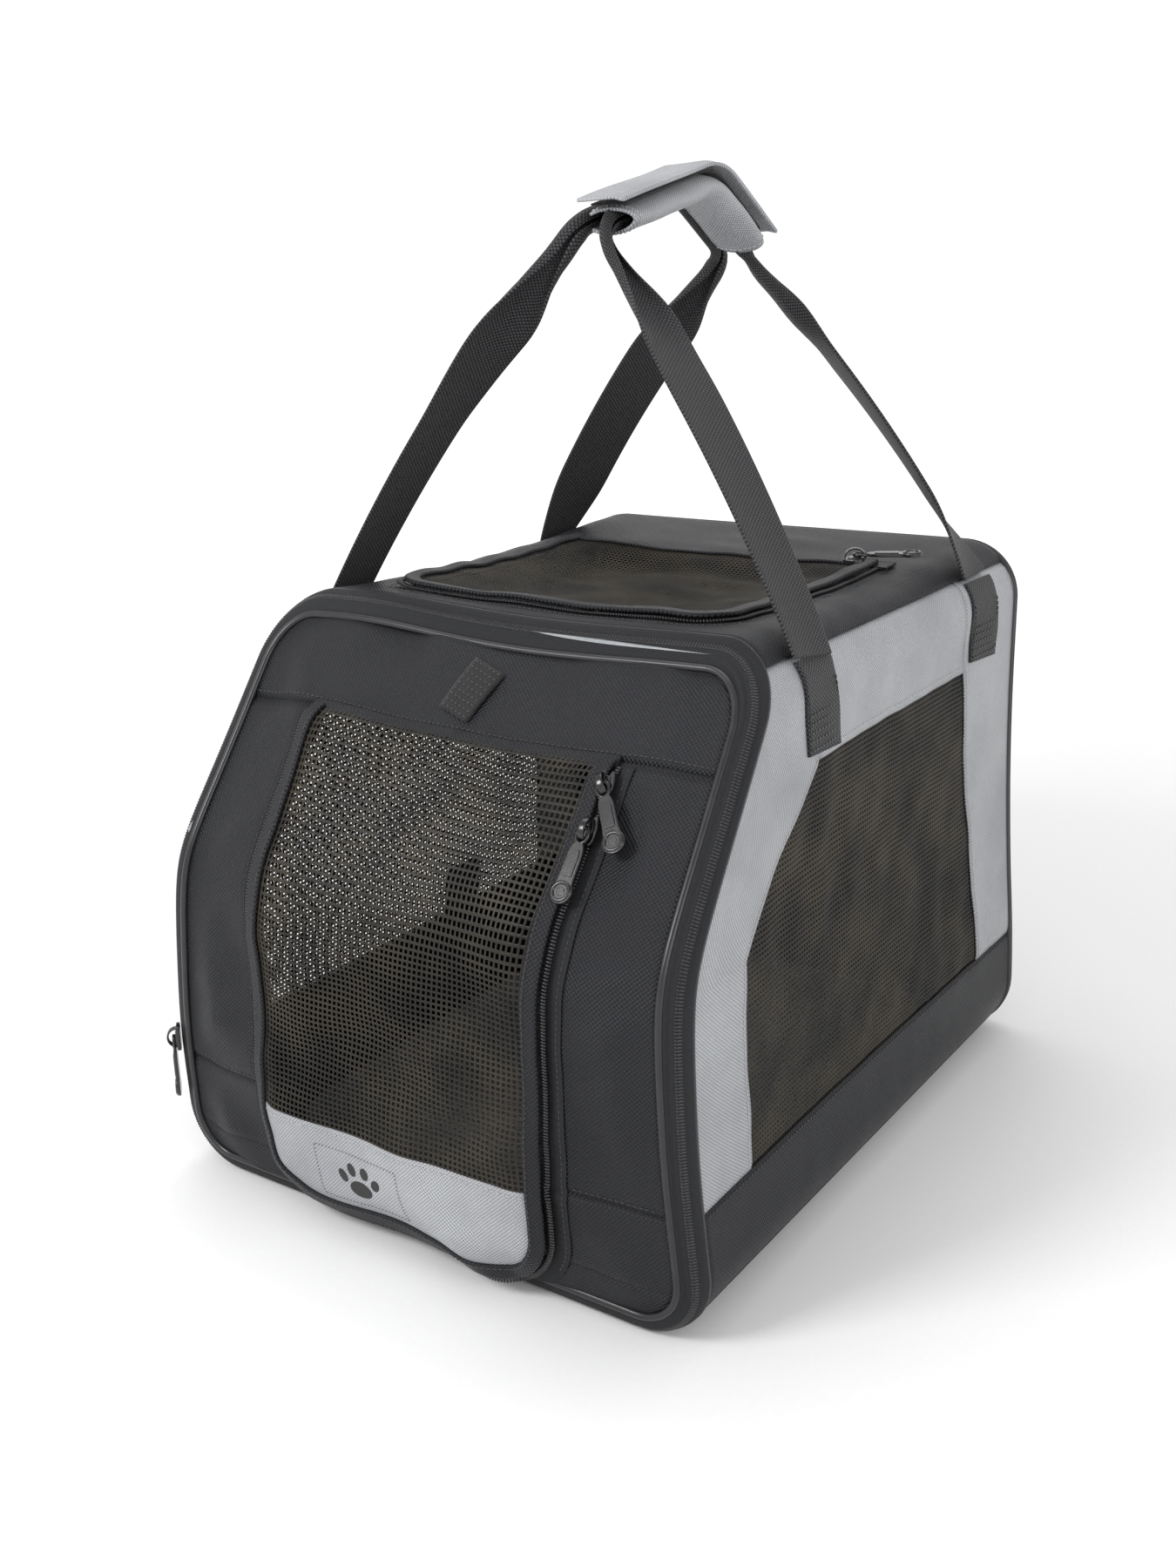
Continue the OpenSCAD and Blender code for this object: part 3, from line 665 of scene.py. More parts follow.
def webbing(name):
    """Heavy ribbed webbing: rows across the width, broken into a brick pattern by the lengthwise threads."""
    m = Nodes(name)
    coords = m.put("ShaderNodeTexCoord")
    uv = coords.outputs["UV"]
    parts = m.put("ShaderNodeSeparateXYZ", {"Vector": uv})
    column = m.math("SINE", m.math("MULTIPLY", parts.outputs["X"], math.pi / (1.6 * MM)))
    shift = m.math("MULTIPLY", m.math("SIGN", column), math.pi / 2)
    lengthwise = m.math("MULTIPLY", parts.outputs["Y"], 2 * math.pi / (2.4 * MM))
    row = m.math("SINE", m.math("ADD", lengthwise, shift))
    rows = m.math("ADD", m.math("MULTIPLY", row, 0.5), 0.5)
    edges = m.math("ABSOLUTE", column)
    height = m.math("MULTIPLY", m.math("POWER", rows, 0.6), m.math("POWER", edges, 0.35))
    fuzz = m.noise(coords.outputs["Object"], 900.0, 3.0)
    colour = m.ramp(height, (0.0015, 0.0015, 0.002), (0.070, 0.071, 0.077), (0.2, 0.95))
    colour = m.multiply(colour, m.ramp(fuzz, (0.6, 0.6, 0.6), (1.0, 1.0, 1.0), (0.3, 0.7)))
    m.bump(m.math("ADD", height, m.math("MULTIPLY", fuzz, 0.2)), 0.6, 1.0)
    return m.finish(
        Base_Color=colour, Roughness=m.span(fuzz, 0.45, 0.65), Sheen_Weight=0.06, Specular_IOR_Level=0.3
    )


def herringbone(name):
    """Zip tape: fine slanting ribs that change direction down the middle."""
    m = Nodes(name)
    coords = m.put("ShaderNodeTexCoord")
    parts = m.put("ShaderNodeSeparateXYZ", {"Vector": coords.outputs["UV"]})
    zigzag = m.math("PINGPONG", parts.outputs["Y"], 2.0 * MM)
    slant = m.math("ADD", parts.outputs["X"], zigzag)
    rib = m.math("SINE", m.math("MULTIPLY", slant, 2 * math.pi / (0.9 * MM)))
    height = m.math("ADD", m.math("MULTIPLY", rib, 0.5), 0.5)
    fuzz = m.noise(coords.outputs["Object"], 700.0, 3.0)
    colour = m.ramp(height, (0.003, 0.003, 0.004), (0.024, 0.025, 0.028))
    m.bump(m.math("ADD", height, fuzz), 0.15, 0.8)
    return m.finish(Base_Color=colour, Roughness=m.span(fuzz, 0.55, 0.75), Specular_IOR_Level=0.25)


def moulded(name, colour, rough, grain, depth, coat=0.0):
    """Vinyl, nylon or painted metal: a fine surface grain and handling marks that dull the gloss."""
    m = Nodes(name)
    place = m.put("ShaderNodeTexCoord").outputs["Object"]
    fine = m.noise(place, grain, 3.0)
    marks = m.noise(place, 70.0, 5.0, 0.65)
    lit = tuple(min(1.0, c * 1.5 + 0.004) for c in colour)
    tint = m.ramp(marks, colour, lit, (0.4, 0.7))
    m.bump(m.math("ADD", fine, marks), depth, 0.7)
    roughness = m.span(marks, rough - 0.05, rough + 0.14)
    return m.finish(Base_Color=tint, Roughness=roughness, Coat_Weight=coat, Coat_Roughness=0.12)


def pile(name, dark, light, scale, depth, sheen):
    """Short tufts: fleece, or the stiff hooks of fastening tape."""
    m = Nodes(name)
    place = m.put("ShaderNodeTexCoord").outputs["Object"]
    cells = m.put("ShaderNodeTexVoronoi", {"Vector": place, "Scale": scale, "Randomness": 0.8})
    cloud = m.noise(place, 45.0, 4.0)
    mixed = m.math("ADD", m.math("MULTIPLY", cells.outputs["Distance"], 0.7), m.math("MULTIPLY", cloud, 0.5))
    colour = m.ramp(mixed, light, dark, (0.2, 0.9))
    m.bump(m.math("SUBTRACT", 1.0, mixed), depth, 1.0)
    return m.finish(Base_Color=colour, Roughness=m.span(cloud, 0.8, 0.95), Sheen_Weight=sheen)


def thread(name, dark, light):
    """Sewing thread: a slanting twist across each stitch."""
    m = Nodes(name)
    uv = m.put("ShaderNodeTexCoord").outputs["UV"]
    parts = m.put("ShaderNodeSeparateXYZ", {"Vector": uv})
    along = m.math("MULTIPLY", parts.outputs["X"], 9000.0)
    across = m.math("MULTIPLY", parts.outputs["Y"], 5000.0)
    ply = m.math("SINE", m.math("ADD", along, across))
    twist = m.math("ADD", m.math("MULTIPLY", ply, 0.5), 0.5)
    m.bump(twist, 0.08, 0.8)
    colour = m.ramp(twist, dark, light)
    return m.finish(Base_Color=colour, Roughness=m.span(twist, 0.5, 0.62), Sheen_Weight=0.2)


BLACK = oxford("black_oxford", (0.0012, 0.0013, 0.0019), (0.021, 0.022, 0.028), 0.44, sheen=0.03, gloss=0.26)
GREY = oxford("grey_oxford", (0.25, 0.26, 0.27), (0.60, 0.61, 0.63), 0.48, pitch=1.1, soil=0.2)
NET = netting("mesh", (0.008, 0.007, 0.006), (0.034, 0.028, 0.019))
VINYL = moulded("piping_vinyl", (0.005, 0.005, 0.007), 0.32, 900.0, 0.05, coat=0.1)
TAPE = herringbone("zip_tape")
COIL = moulded("zip_coil", (0.006, 0.006, 0.007), 0.32, 1200.0, 0.04, coat=0.1)
METAL = moulded("zip_metal", (0.003, 0.003, 0.004), 0.2, 600.0, 0.03, coat=0.25)
WEBBING = webbing("webbing")
HOOKS = pile("hook_tape", (0.004, 0.004, 0.004), (0.022, 0.022, 0.024), 1300.0, 0.5, 0.1)
ROD = moulded("hoop_rod", (0.20, 0.21, 0.22), 0.4, 400.0, 0.04)
BOARD = pile("board", (0.05, 0.04, 0.03), (0.10, 0.085, 0.07), 300.0, 0.1, 0.0)
FLEECE = pile("pad_fleece", (0.016, 0.016, 0.018), (0.045, 0.045, 0.048), 420.0, 1.4, 0.5)
BLACK_THREAD = thread("black_thread", (0.006, 0.006, 0.007), (0.030, 0.030, 0.033))
GREY_THREAD = thread("grey_thread", (0.30, 0.31, 0.32), (0.52, 0.53, 0.54))
PRINT = moulded("badge_ink", (0.010, 0.010, 0.011), 0.5, 1500.0, 0.03)


# ---------- camera, light and floor ----------


CAMERA_AT = Vector((544.6, -814.8, 538.5)) * MM
CAMERA_TURN = (34.9, 17.8, -1.69)
LENS = 37.92
SHIFT_Y = -0.011
LIGHT_TARGET = Vector((0, 0, 0.2))
FLOOR_HALF = 9000.0
FLOOR_Z = -0.6


def make_camera():
    """The camera, turned by an azimuth, an elevation and a slight roll."""
    azimuth, elevation, roll = (math.radians(angle) for angle in CAMERA_TURN)
    back = Vector((
        math.sin(azimuth) * math.cos(elevation),
        -math.cos(azimuth) * math.cos(elevation),
        math.sin(elevation),
    ))
    right = Vector((math.cos(azimuth), math.sin(azimuth), 0))
    up = back.cross(right)
    turned_right = right * math.cos(roll) + up * math.sin(roll)
    turned_up = up * math.cos(roll) - right * math.sin(roll)
    data = bpy.data.cameras.new("camera")
    data.lens = LENS
    data.sensor_width = 36
    data.sensor_fit = "AUTO"
    data.shift_y = SHIFT_Y
    camera = bpy.data.objects.new("camera", data)
    matrix = Matrix((turned_right, turned_up, back)).transposed().to_4x4()
    matrix.translation = CAMERA_AT
    camera.matrix_world = matrix
    SCENE.collection.objects.link(camera)
    SCENE.camera = camera


def area_light(name, at, size, power):
    """A soft rectangular light that points at the middle of the bag."""
    data = bpy.data.lights.new(name, "AREA")
    data.shape = "RECTANGLE"
    data.size, data.size_y = size
    data.energy = power
    light = bpy.data.objects.new(name, data)
    light.location = at
    light.rotation_euler = (LIGHT_TARGET - Vector(at)).to_track_quat("-Z", "Y").to_euler()
    SCENE.collection.objects.link(light)


def make_floor():
    """A sheet of pale paper with painted light: it glows more and more away from the bag, to meet the white
    background.
    """
    mat = Nodes("floor_paper")
    place = mat.put("ShaderNodeTexCoord").outputs["Object"]
    grain = mat.noise(place, 300.0, 3.0)
    mat.bump(grain, 0.1, 0.3)
    # painted light: the paper emits white light, none near the bag and growing to full strength 2.4 m away,
    # so the floor glows though it is no lamp
    distance = mat.put("ShaderNodeVectorMath", {0: place}, operation="LENGTH").outputs["Value"]
    fields = {"Value": distance, "From Min": 0.4, "From Max": 2.4, "To Min": 0.0, "To Max": 0.42}
    glow = mat.put("ShaderNodeMapRange", fields, interpolation_type="SMOOTHSTEP").outputs["Result"]
    colour = mat.ramp(grain, (0.86, 0.86, 0.86), (0.9, 0.9, 0.9))
    paper = mat.finish(Base_Color=colour, Roughness=0.8, Emission_Color=(1, 1, 1, 1), Emission_Strength=glow)
    corners = ((-1, -1), (1, -1), (1, 1), (-1, 1))
    verts = [(x * FLOOR_HALF, y * FLOOR_HALF, FLOOR_Z) for x, y in corners]
    floor = new_object("floor", verts, [(0, 1, 2, 3)], None, paper, False)


def make_world():
    """A white studio, dimmer overhead than at the horizon."""
    world = bpy.data.worlds.new("studio")
    world.use_nodes = True
    tree = world.node_tree
    tree.nodes["Background"].inputs["Color"].default_value = (1, 1, 1, 1)
    direction = tree.nodes.new("ShaderNodeTexCoord").outputs["Generated"]
    parts = tree.nodes.new("ShaderNodeSeparateXYZ")
    tree.links.new(direction, parts.inputs["Vector"])
    fade = tree.nodes.new("ShaderNodeMapRange")
    fade.interpolation_type = "SMOOTHSTEP"
    for field, value in {"From Min": 0.18, "From Max": 0.5, "To Min": 1.05, "To Max": 0.72}.items():
        fade.inputs[field].default_value = value
    tree.links.new(parts.outputs["Z"], fade.inputs["Value"])
    tree.links.new(fade.outputs["Result"], tree.nodes["Background"].inputs["Strength"])
    SCENE.world = world
    SCENE.view_settings.view_transform = "Standard"


make_camera()
make_floor()
make_world()
area_light("key", (-0.55, -1.3, 1.2), (0.5, 0.5), 15)
area_light("fill", (1.7, -0.7, 0.9), (0.8, 0.8), 9)
area_light("top", (-0.4, 0.4, 1.9), (1.2, 1.0), 9)


# ---------- outlines of the door and the hatch ----------


def door_half(z, margin=0.0):
    """Half the door's width at height z, grown by a margin."""
    z = np.asarray(z, float)
    foot = DOOR_FOOT - margin
    r = DOOR_R + margin
    straight = DOOR_HALF + margin - DOOR_TAPER * (DOOR_TOP - z) / (DOOR_TOP - DOOR_FOOT)
    low = np.clip(foot + r - z, 0, r)
    return straight - r + np.sqrt(np.maximum(r * r - low * low, 0))


def door_path(margin, top=DOOR_TOP, step=2.0):
    """Round the door from its upper left corner, down, across and up to the right: x and z."""
    foot, r = DOOR_FOOT - margin, DOOR_R + margin
    half = float(door_half(foot + r, margin))
    left = [(-float(door_half(z, margin)), z) for z in between(top, foot + r, step)]
    bend = np.radians(np.arange(3, 90, 3))
    left += [(-half + r - r * math.cos(a), foot + r - r * math.sin(a)) for a in bend]
    right = [(-x, z) for x, z in left[::-1]]
    middle = [(x, foot) for x in between(-half + r, half - r, step)]
    return np.array(left + middle + right)


def hatch_path(margin, rear=HATCH_REAR, step=2.0):
    """Round the hatch from its rear left corner, forward, across and back: x and y."""
    half, front_edge, r = HATCH_HALF + margin, HATCH_FRONT - margin, HATCH_R + margin
    left = [(-half, y) for y in between(rear, front_edge + r, step)]
    bend = np.radians(np.arange(3, 90, 3))
    left += [(-half + r - r * math.cos(a), front_edge + r - r * math.sin(a)) for a in bend]
    right = [(-x, y) for x, y in left[::-1]]
    middle = [(x, front_edge) for x in between(-half + r, half - r, step)]
    return np.array(left + middle + right)


def hatch_inside(x, y, margin):
    """Whether a point lies inside the hatch's outline, grown by a margin."""
    half, front_edge, r = HATCH_HALF + margin, HATCH_FRONT - margin, HATCH_R + margin
    cx = np.maximum(np.abs(x) - (half - r), 0)
    cy = np.maximum(front_edge + r - y, 0)
    return (np.hypot(cx, cy) < r) & (np.abs(x) < half) & (y > front_edge) & (y < HATCH_REAR + min(margin, 0))


# ---------- trims that run over a surface ----------


def on_surface(surface, path, height, flip=1.0):
    """A path of pairs laid on a surface: its points and the surface's outward directions."""
    path = np.asarray(path, float)
    p, _, _, n = lifted(surface, path[:, 0], path[:, 1], height, flip)
    return p, n


def strip_over(name, surface, path, height, half, thick, material):
    """A flat strip along a path on a surface."""
    p, up = on_surface(surface, path, height)
    return sweep_piece(name, p, up, flat_section(half, thick), material)


def stitch_row(name, path, up, material, length=2.5, radius=0.32, pitch=3.3):
    """A row of stitches along a path of points."""
    at, along, ups = evenly(path, up, pitch)
    verts, faces = spindle(length, radius)
    return stamp(name, verts, faces, at, along, ups, material)


def stitches(name, surface, path, material, height=0.25, length=2.6, pitch=3.4, flip=1.0, radius=0.32):
    """A row of stitches along a path on a surface."""
    p, up = on_surface(surface, path, height, flip)
    return stitch_row(name, p, up, material, length, radius, pitch)


def teeth(name, points, up, width, pitch, radius, material):
    """A zip's coil: small rounded ridges across the track."""
    at, along, ups = evenly(points, up, pitch)
    ups = ups / np.maximum(np.linalg.norm(ups, axis=1, keepdims=True), 1e-9)
    side = np.cross(along, ups)
    verts, faces = spindle(width, radius, 6)
    return stamp(name, verts, faces, at, side, ups, material)


# ---------- netting ----------


def lattice(name, surface, columns, rows, inside, material, pitch, hole, flip=1.0, lift=0.0, relief=0.35):
    """Woven netting as real threads: every cell is a frame round a square hole, its crossings raised."""
    u = np.arange(columns[0], columns[1], pitch)
    v = np.arange(rows[0], rows[1], pitch)
    uu, vv = np.meshgrid(u, v, indexing="ij")
    corners = lifted(surface, uu, vv, lift, flip)[0]
    i, j = np.nonzero(inside(uu[:-1, :-1] + pitch / 2, vv[:-1, :-1] + pitch / 2))
    a = corners[i, j]
    b = corners[i + 1, j]
    c = corners[i + 1, j + 1]
    d = corners[i, j + 1]
    middle = (a + b + c + d) / 4
    normal = np.cross(b - a, d - a) * flip
    normal = normal / np.linalg.norm(normal, axis=1, keepdims=True)
    inner = [middle + (q - middle) * hole - normal * relief for q in (a, b, c, d)]
    index = -np.ones(uu.shape, dtype=np.int64)
    used = np.zeros(uu.shape, dtype=bool)
    for di, dj in ((0, 0), (1, 0), (1, 1), (0, 1)):
        used[i + di, j + dj] = True
    index[used] = np.arange(used.sum())
    outer = [index[i, j], index[i + 1, j], index[i + 1, j + 1], index[i, j + 1]]
    count = used.sum()
    n = len(i)
    holes = [count + k * n + np.arange(n) for k in range(4)]
    verts = np.vstack([corners[used]] + inner)
    quads = []
    for k in range(4):
        m = (k + 1) % 4
        quad = np.stack([outer[k], outer[m], holes[m], holes[k]], -1)
        quads.append(quad if flip > 0 else quad[:, ::-1])
    return new_object(name, verts, np.vstack(quads), None, material)


# ---------- end panels ----------


def panel_right(z):
    """The right edge of an end panel at height z."""
    return half_width(z, PANEL_INSET)


def panel_left(z):
    """The left edge of an end panel at height z."""
    return -panel_right(z)


def front_strip(name, side, low, high):
    """The front panel's cloth between the door and one edge, over a range of heights."""
    edges = [lambda z: side * door_half(z, -6), lambda z: side * panel_right(z)]
    left, right = edges if side > 0 else edges[::-1]
    return rows_patch(name, front, between(low, high, 4), left, right, BLACK)


def make_front():
    """The header, the strips beside the door and the foot band."""
    rows = between(DOOR_TOP, BODY_H - PANEL_INSET, 3)
    header = rows_patch("header", front, rows, panel_left, panel_right, BLACK)
    finish_piece(header, "shell", ["front_header"])
    for side, label in ((-1, "left"), (1, "right")):
        panel = front_strip(f"front_{label}_cloth", side, BAND_H, DOOR_TOP)
        finish_piece(panel, "shell", [f"front_{label}_panel"])
    sill = DOOR_FOOT + 18
    parts = [rows_patch("front_foot", front, between(PANEL_INSET, sill, 4), panel_left, panel_right, BLACK)]
    for side in (-1, 1):
        parts.append(front_strip("front_foot_side", side, sill, BAND_H))
    finish_piece(join("front_foot", parts), "shell", ["front_base_band"])
    seam = [(x, DOOR_TOP + 3.2) for x in between(-165, 165, 2)]
    finish_piece(stitches("header_stitches", front, seam, BLACK_THREAD), "shell")
    for side, label in ((-1, "left"), (1, "right")):
        seam = [(side * x, BAND_H + 3.0) for x in between(DOOR_HALF + 12, 160, 2)]
        finish_piece(stitches(f"foot_stitches_{label}", front, seam, BLACK_THREAD), "shell")


def make_rear():
    """The rear panel and its foot band."""
    for name, node, low, high in (
        ("rear_cloth", "rear_panel", BAND_H, BODY_H - PANEL_INSET),
        ("rear_foot", "rear_base_band", PANEL_INSET, BAND_H),
    ):
        panel = rows_patch(name, rear, between(low, high, 4), panel_left, panel_right, BLACK, flip=True)
        finish_piece(panel, "shell", [node])
    seam = [(x, BAND_H + 3.0) for x in between(-160, 160, 2)]
    finish_piece(stitches("rear_stitches", rear, seam, BLACK_THREAD, flip=-1.0), "shell")


def ring_points(is_front, angle, height):
    """A closed path round an end's zipped edge, with outward directions."""
    s = np.arange(0, LOOP_LEN, 4.0)
    surface = edge_band(is_front)
    sign = -1.0 if is_front else 1.0
    p, _, _, n = lifted(surface, s, angle + 0 * s, 0.0, sign)
    return p + n * height, n


def make_end(is_front):
    """One zipped edge: its tape, teeth and stitching, and the piping on both sides of it."""
    label = "front" if is_front else "rear"
    sign = -1.0 if is_front else 1.0
    s = np.arange(0, LOOP_LEN + 2, 4.0)
    s[-1] = LOOP_LEN - 0.001
    angles = np.linspace(-4, 94, 12)
    ss, aa = np.meshgrid(s, angles, indexing="ij")
    p = lifted(edge_band(is_front), ss, aa, 0.0, sign)[0]
    tape = sheet_piece(f"{label}_edge_tape", p, TAPE, not is_front, 0.9)
    finish_piece(tape, "shell", [f"{label}_zip_tape"])
    points, up = ring_points(is_front, 45.0, 0.5)
    points = np.vstack([points, points[:1]])
    up = np.vstack([up, up[:1]])
    coil = teeth(f"{label}_edge_teeth", points, up, 5.4, 1.75, 0.78, COIL)
    finish_piece(coil, "shell", [f"{label}_zip_coil"])
    for angle, name in ((18.0, "a"), (72.0, "b")):
        points, up = ring_points(is_front, angle, 0.2)
        row = stitch_row(f"{label}_edge_stitches_{name}", points, up, BLACK_THREAD, radius=0.3)
        finish_piece(row, "shell")
    tube = round_section(PIPING_R, 12)
    _, up = ring_points(is_front, 2.0, 0.0)
    x, z, nx, nz = loop_at(np.arange(0, LOOP_LEN, 4.0))
    low = z - PIPING_INSET * nz
    y = front_at(low) - 0.2 if is_front else rear_at(low) + 0.2
    inner = soften(np.stack([x - PIPING_INSET * nx, y, low], -1))
    inner_piping = sweep_piece(f"{label}_inner_piping", inner, up, tube, VINYL, closed=True)
    finish_piece(inner_piping, "shell", [f"{label}_piping"])
    y = front_at(z) + EDGE_R + PIPING_SINK if is_front else rear_at(z) - EDGE_R - PIPING_SINK
    outer = np.stack([x - PIPING_SINK * nx, y, z - PIPING_SINK * nz], -1)
    outer[:, 2] = np.maximum(outer[:, 2], 2.4)
    outer_piping = sweep_piece(f"{label}_outer_piping", soften(outer), up, tube, VINYL, closed=True)
    finish_piece(outer_piping, "shell", [f"{label}_edge_piping"])


# ---------- sides, top and bottom ----------


def window_low(z):
    """Depth of the side window's front edge at height z."""
    rise = WINDOW_TOP - 2 - WINDOW_KNEE_Z
    knee = WINDOW_FRONT + (WINDOW_TOP_FRONT - WINDOW_FRONT) * (z - WINDOW_KNEE_Z) / rise
    return np.clip(knee, WINDOW_FRONT, WINDOW_TOP_FRONT)


def window_high(z):
    """Depth of the side window's rear edge at height z."""
    part = np.clip((z - BAND_H) / (WINDOW_TOP - BAND_H), 0, 1)
    return WINDOW_REAR_FOOT + (WINDOW_REAR_TOP - WINDOW_REAR_FOOT) * part


def make_side(side):
    """One side: three pale trims round the netting window, and the dark foot band."""
    label = "left" if side < 0 else "right"
    wall = side_wall(side)
    flip = side < 0
    sign = -1.0 if flip else 1.0
    heights = (BAND_H, WINDOW_KNEE_Z, WINDOW_TOP, SEAM_Z)
    rows = np.unique(np.concatenate([between(a, b, 4) for a, b in zip(heights[:-1], heights[1:])]))
    top_rows = between(WINDOW_TOP - 1, SEAM_Z, 4)
    trims = {
        "front": (rows, y_front, window_low),
        "top": (top_rows, lambda z: WINDOW_TOP_FRONT + 0 * z, lambda z: WINDOW_REAR_TOP + 0 * z),
        "rear": (rows, window_high, y_rear),
    }
    for name, (trim_rows, low, high) in trims.items():
        trim = rows_patch(f"{label}_{name}_cloth", wall, trim_rows, low, high, GREY, flip)
        finish_piece(trim, "shell", [f"{label}_{name}_trim"])
    band_rows = between(FOOT_SEAM_Z, BAND_H, 4)
    band = rows_patch(f"{label}_foot_cloth", wall, band_rows, y_front, y_rear, BLACK, flip)
    finish_piece(band, "shell", [f"{label}_base_band"])

    def inside(y, z):
        return (y > window_low(z) - 3) & (y < window_high(z) + 3)

    net = lattice(
        f"{label}_net", wall, (WINDOW_FRONT - 4, WINDOW_REAR_FOOT + 6), (BAND_H - 4, WINDOW_TOP + 4), inside,
        NET, 2.9, 0.4, sign, -1.1, 0.45,
    )
    finish_piece(net, "shell", [f"{label}_window"])

    lines = {
        "front": [(WINDOW_FRONT - 3, z) for z in between(BAND_H + 2, WINDOW_KNEE_Z, 2)]
        + [(float(window_low(z)) - 3, z) for z in between(WINDOW_KNEE_Z, WINDOW_TOP, 2)][1:],
        "top": [(y, WINDOW_TOP + 3) for y in between(WINDOW_TOP_FRONT, WINDOW_REAR_TOP, 2)],
        "rear": [(float(window_high(z)) + 3, z) for z in between(BAND_H + 2, WINDOW_TOP, 2)],
    }
    for name, path in lines.items():
        row = stitches(f"{label}_{name}_stitches", wall, path, GREY_THREAD, flip=sign)
        finish_piece(row, "shell")
    path = [(y, BAND_H - 3) for y in between(float(y_front(BAND_H)) + 4, float(y_rear(BAND_H)) - 4, 2)]
    row = stitches(f"{label}_foot_stitches", wall, path, BLACK_THREAD, flip=sign)
    finish_piece(row, "shell")


def make_top():
    """The top cloth, cut away under the hatch."""
    s0 = s_at_height(SEAM_Z, 1)
    s1 = s_at_height(SEAM_Z, -1)
    s = np.linspace(s0, s1, 110)
    t = np.linspace(0, 1, 90)
    ss, tt = np.meshgrid(s, t, indexing="ij")
    raw = sleeve(ss, tt)
    p = lifted(sleeve, ss, tt, 0.0, -1.0)[0]
    centre = (raw[:-1, :-1] + raw[1:, :-1] + raw[1:, 1:] + raw[:-1, 1:]) / 4
    solid = ~hatch_inside(centre[..., 0], centre[..., 1], -5.0)
    faces = grid_faces(*ss.shape)[solid.ravel()]
    panel = new_object("top_cloth", p.reshape(-1, 3), faces, grid_uv(p), BLACK)
    cloth_thickness(panel, 1.0)
    finish_piece(panel, "shell", ["top_panel"])


def make_bottom():
    """The cloth under the bag, up to the seam on both sides."""
    s0 = s_at_height(FOOT_SEAM_Z, -1) - LOOP_LEN
    s1 = s_at_height(FOOT_SEAM_Z, 1)
    ss, tt = np.meshgrid(np.linspace(s0, s1, 80), np.linspace(0, 1, 60), indexing="ij")
    p = lifted(sleeve, ss, tt, 0.0, -1.0)[0]
    panel = sheet_piece("bottom_cloth", p, BLACK)
    finish_piece(panel, "shell", ["bottom_panel"])


# ---------- door ----------


def make_door():
    """The door's netting, foot band, binding and teeth, and the tape and lip on the front panel."""

    def in_band(x, z):
        return (np.abs(x) < door_half(z, -BINDING_W) + 1.5) & (z > BAND_H - 4) & (z < DOOR_TOP - 1)

    columns, heights = (-104, 104), (BAND_H - 5, DOOR_TOP)
    net = lattice("door_net", door_skin, columns, heights, in_band, NET, 3.2, 0.6, 1.0, 0.2, 0.5)
    finish_piece(net, "door", ["door_mesh"])
    rows = between(DOOR_FOOT + 4, BAND_H - 2, 2.5)
    edges = (lambda z: -door_half(z, -4), lambda z: door_half(z, -4))
    band = rows_patch("door_band_cloth", door_skin, rows, *edges, GREY, cell=3.0, height=0.5)
    finish_piece(band, "door", ["door_band"])
    seam = [(x, BAND_H - 5) for x in between(-91, 91, 2)]
    finish_piece(stitches("door_band_stitches", door_skin, seam, GREY_THREAD, 0.8), "door")
    binding = strip_over("door_edge", door_skin, door_path(-4.5, DOOR_TOP - 1), 0.1, 4.6, 2.4, BLACK)
    finish_piece(binding, "door", ["door_binding"])
    row = stitches("door_edge_stitches", door_skin, door_path(-7.4, DOOR_TOP - 6), BLACK_THREAD, 2.6)
    finish_piece(row, "door")
    p, up = on_surface(door_skin, door_path(2.4, DOOR_TOP - 3), -0.6)
    finish_piece(teeth("door_teeth", p, up, 4.6, 1.75, 0.75, COIL), "door", ["door_zip_coil"])
    path = door_path(5.0, DOOR_TOP - 2)
    path[:, 1] = np.maximum(path[:, 1], 18)
    tape = strip_over("door_tape", front, path, 0.2, 6.4, 0.8, TAPE)
    finish_piece(tape, "shell", ["door_zip_tape"])
    path = door_path(8.6, DOOR_TOP - 4)
    path = path[path[:, 1] > 22]
    for label, half in (("left", path[path[:, 0] < 0]), ("right", path[path[:, 0] > 0])):
        row = stitches(f"door_tape_stitches_{label}", front, half, BLACK_THREAD, 1.1)
        finish_piece(row, "shell")
    path = [(x, DOOR_TOP - 1.0) for x in between(-103, 103, 3)]
    lip = strip_over("header_lip", front, path, 1.6, 4.0, 1.2, BLACK)
    finish_piece(lip, "shell")


def disc_on(name, surface, centre, radii, turn, height, material, rings=3, spokes=20):
    """A small flat oval laid on a surface."""
    verts = [centre]
    for r in range(1, rings + 1):
        for k in range(spokes):
            a = 2 * math.pi * k / spokes
            x, y = radii[0] * math.cos(a) * r / rings, radii[1] * math.sin(a) * r / rings
            verts.append((
                centre[0] + x * math.cos(turn) - y * math.sin(turn),
                centre[1] + x * math.sin(turn) + y * math.cos(turn),
            ))
    faces = [(0, 1 + k, 1 + (k + 1) % spokes) for k in range(spokes)]
    for r in range(rings - 1):
        a, b = 1 + r * spokes, 1 + (r + 1) * spokes
        faces += [(a + k, b + k, b + (k + 1) % spokes, a + (k + 1) % spokes) for k in range(spokes)]
    uv = np.array(verts)
    p = lifted(surface, uv[:, 0], uv[:, 1], height)[0]
    return new_object(name, p, faces, uv * MM, material)


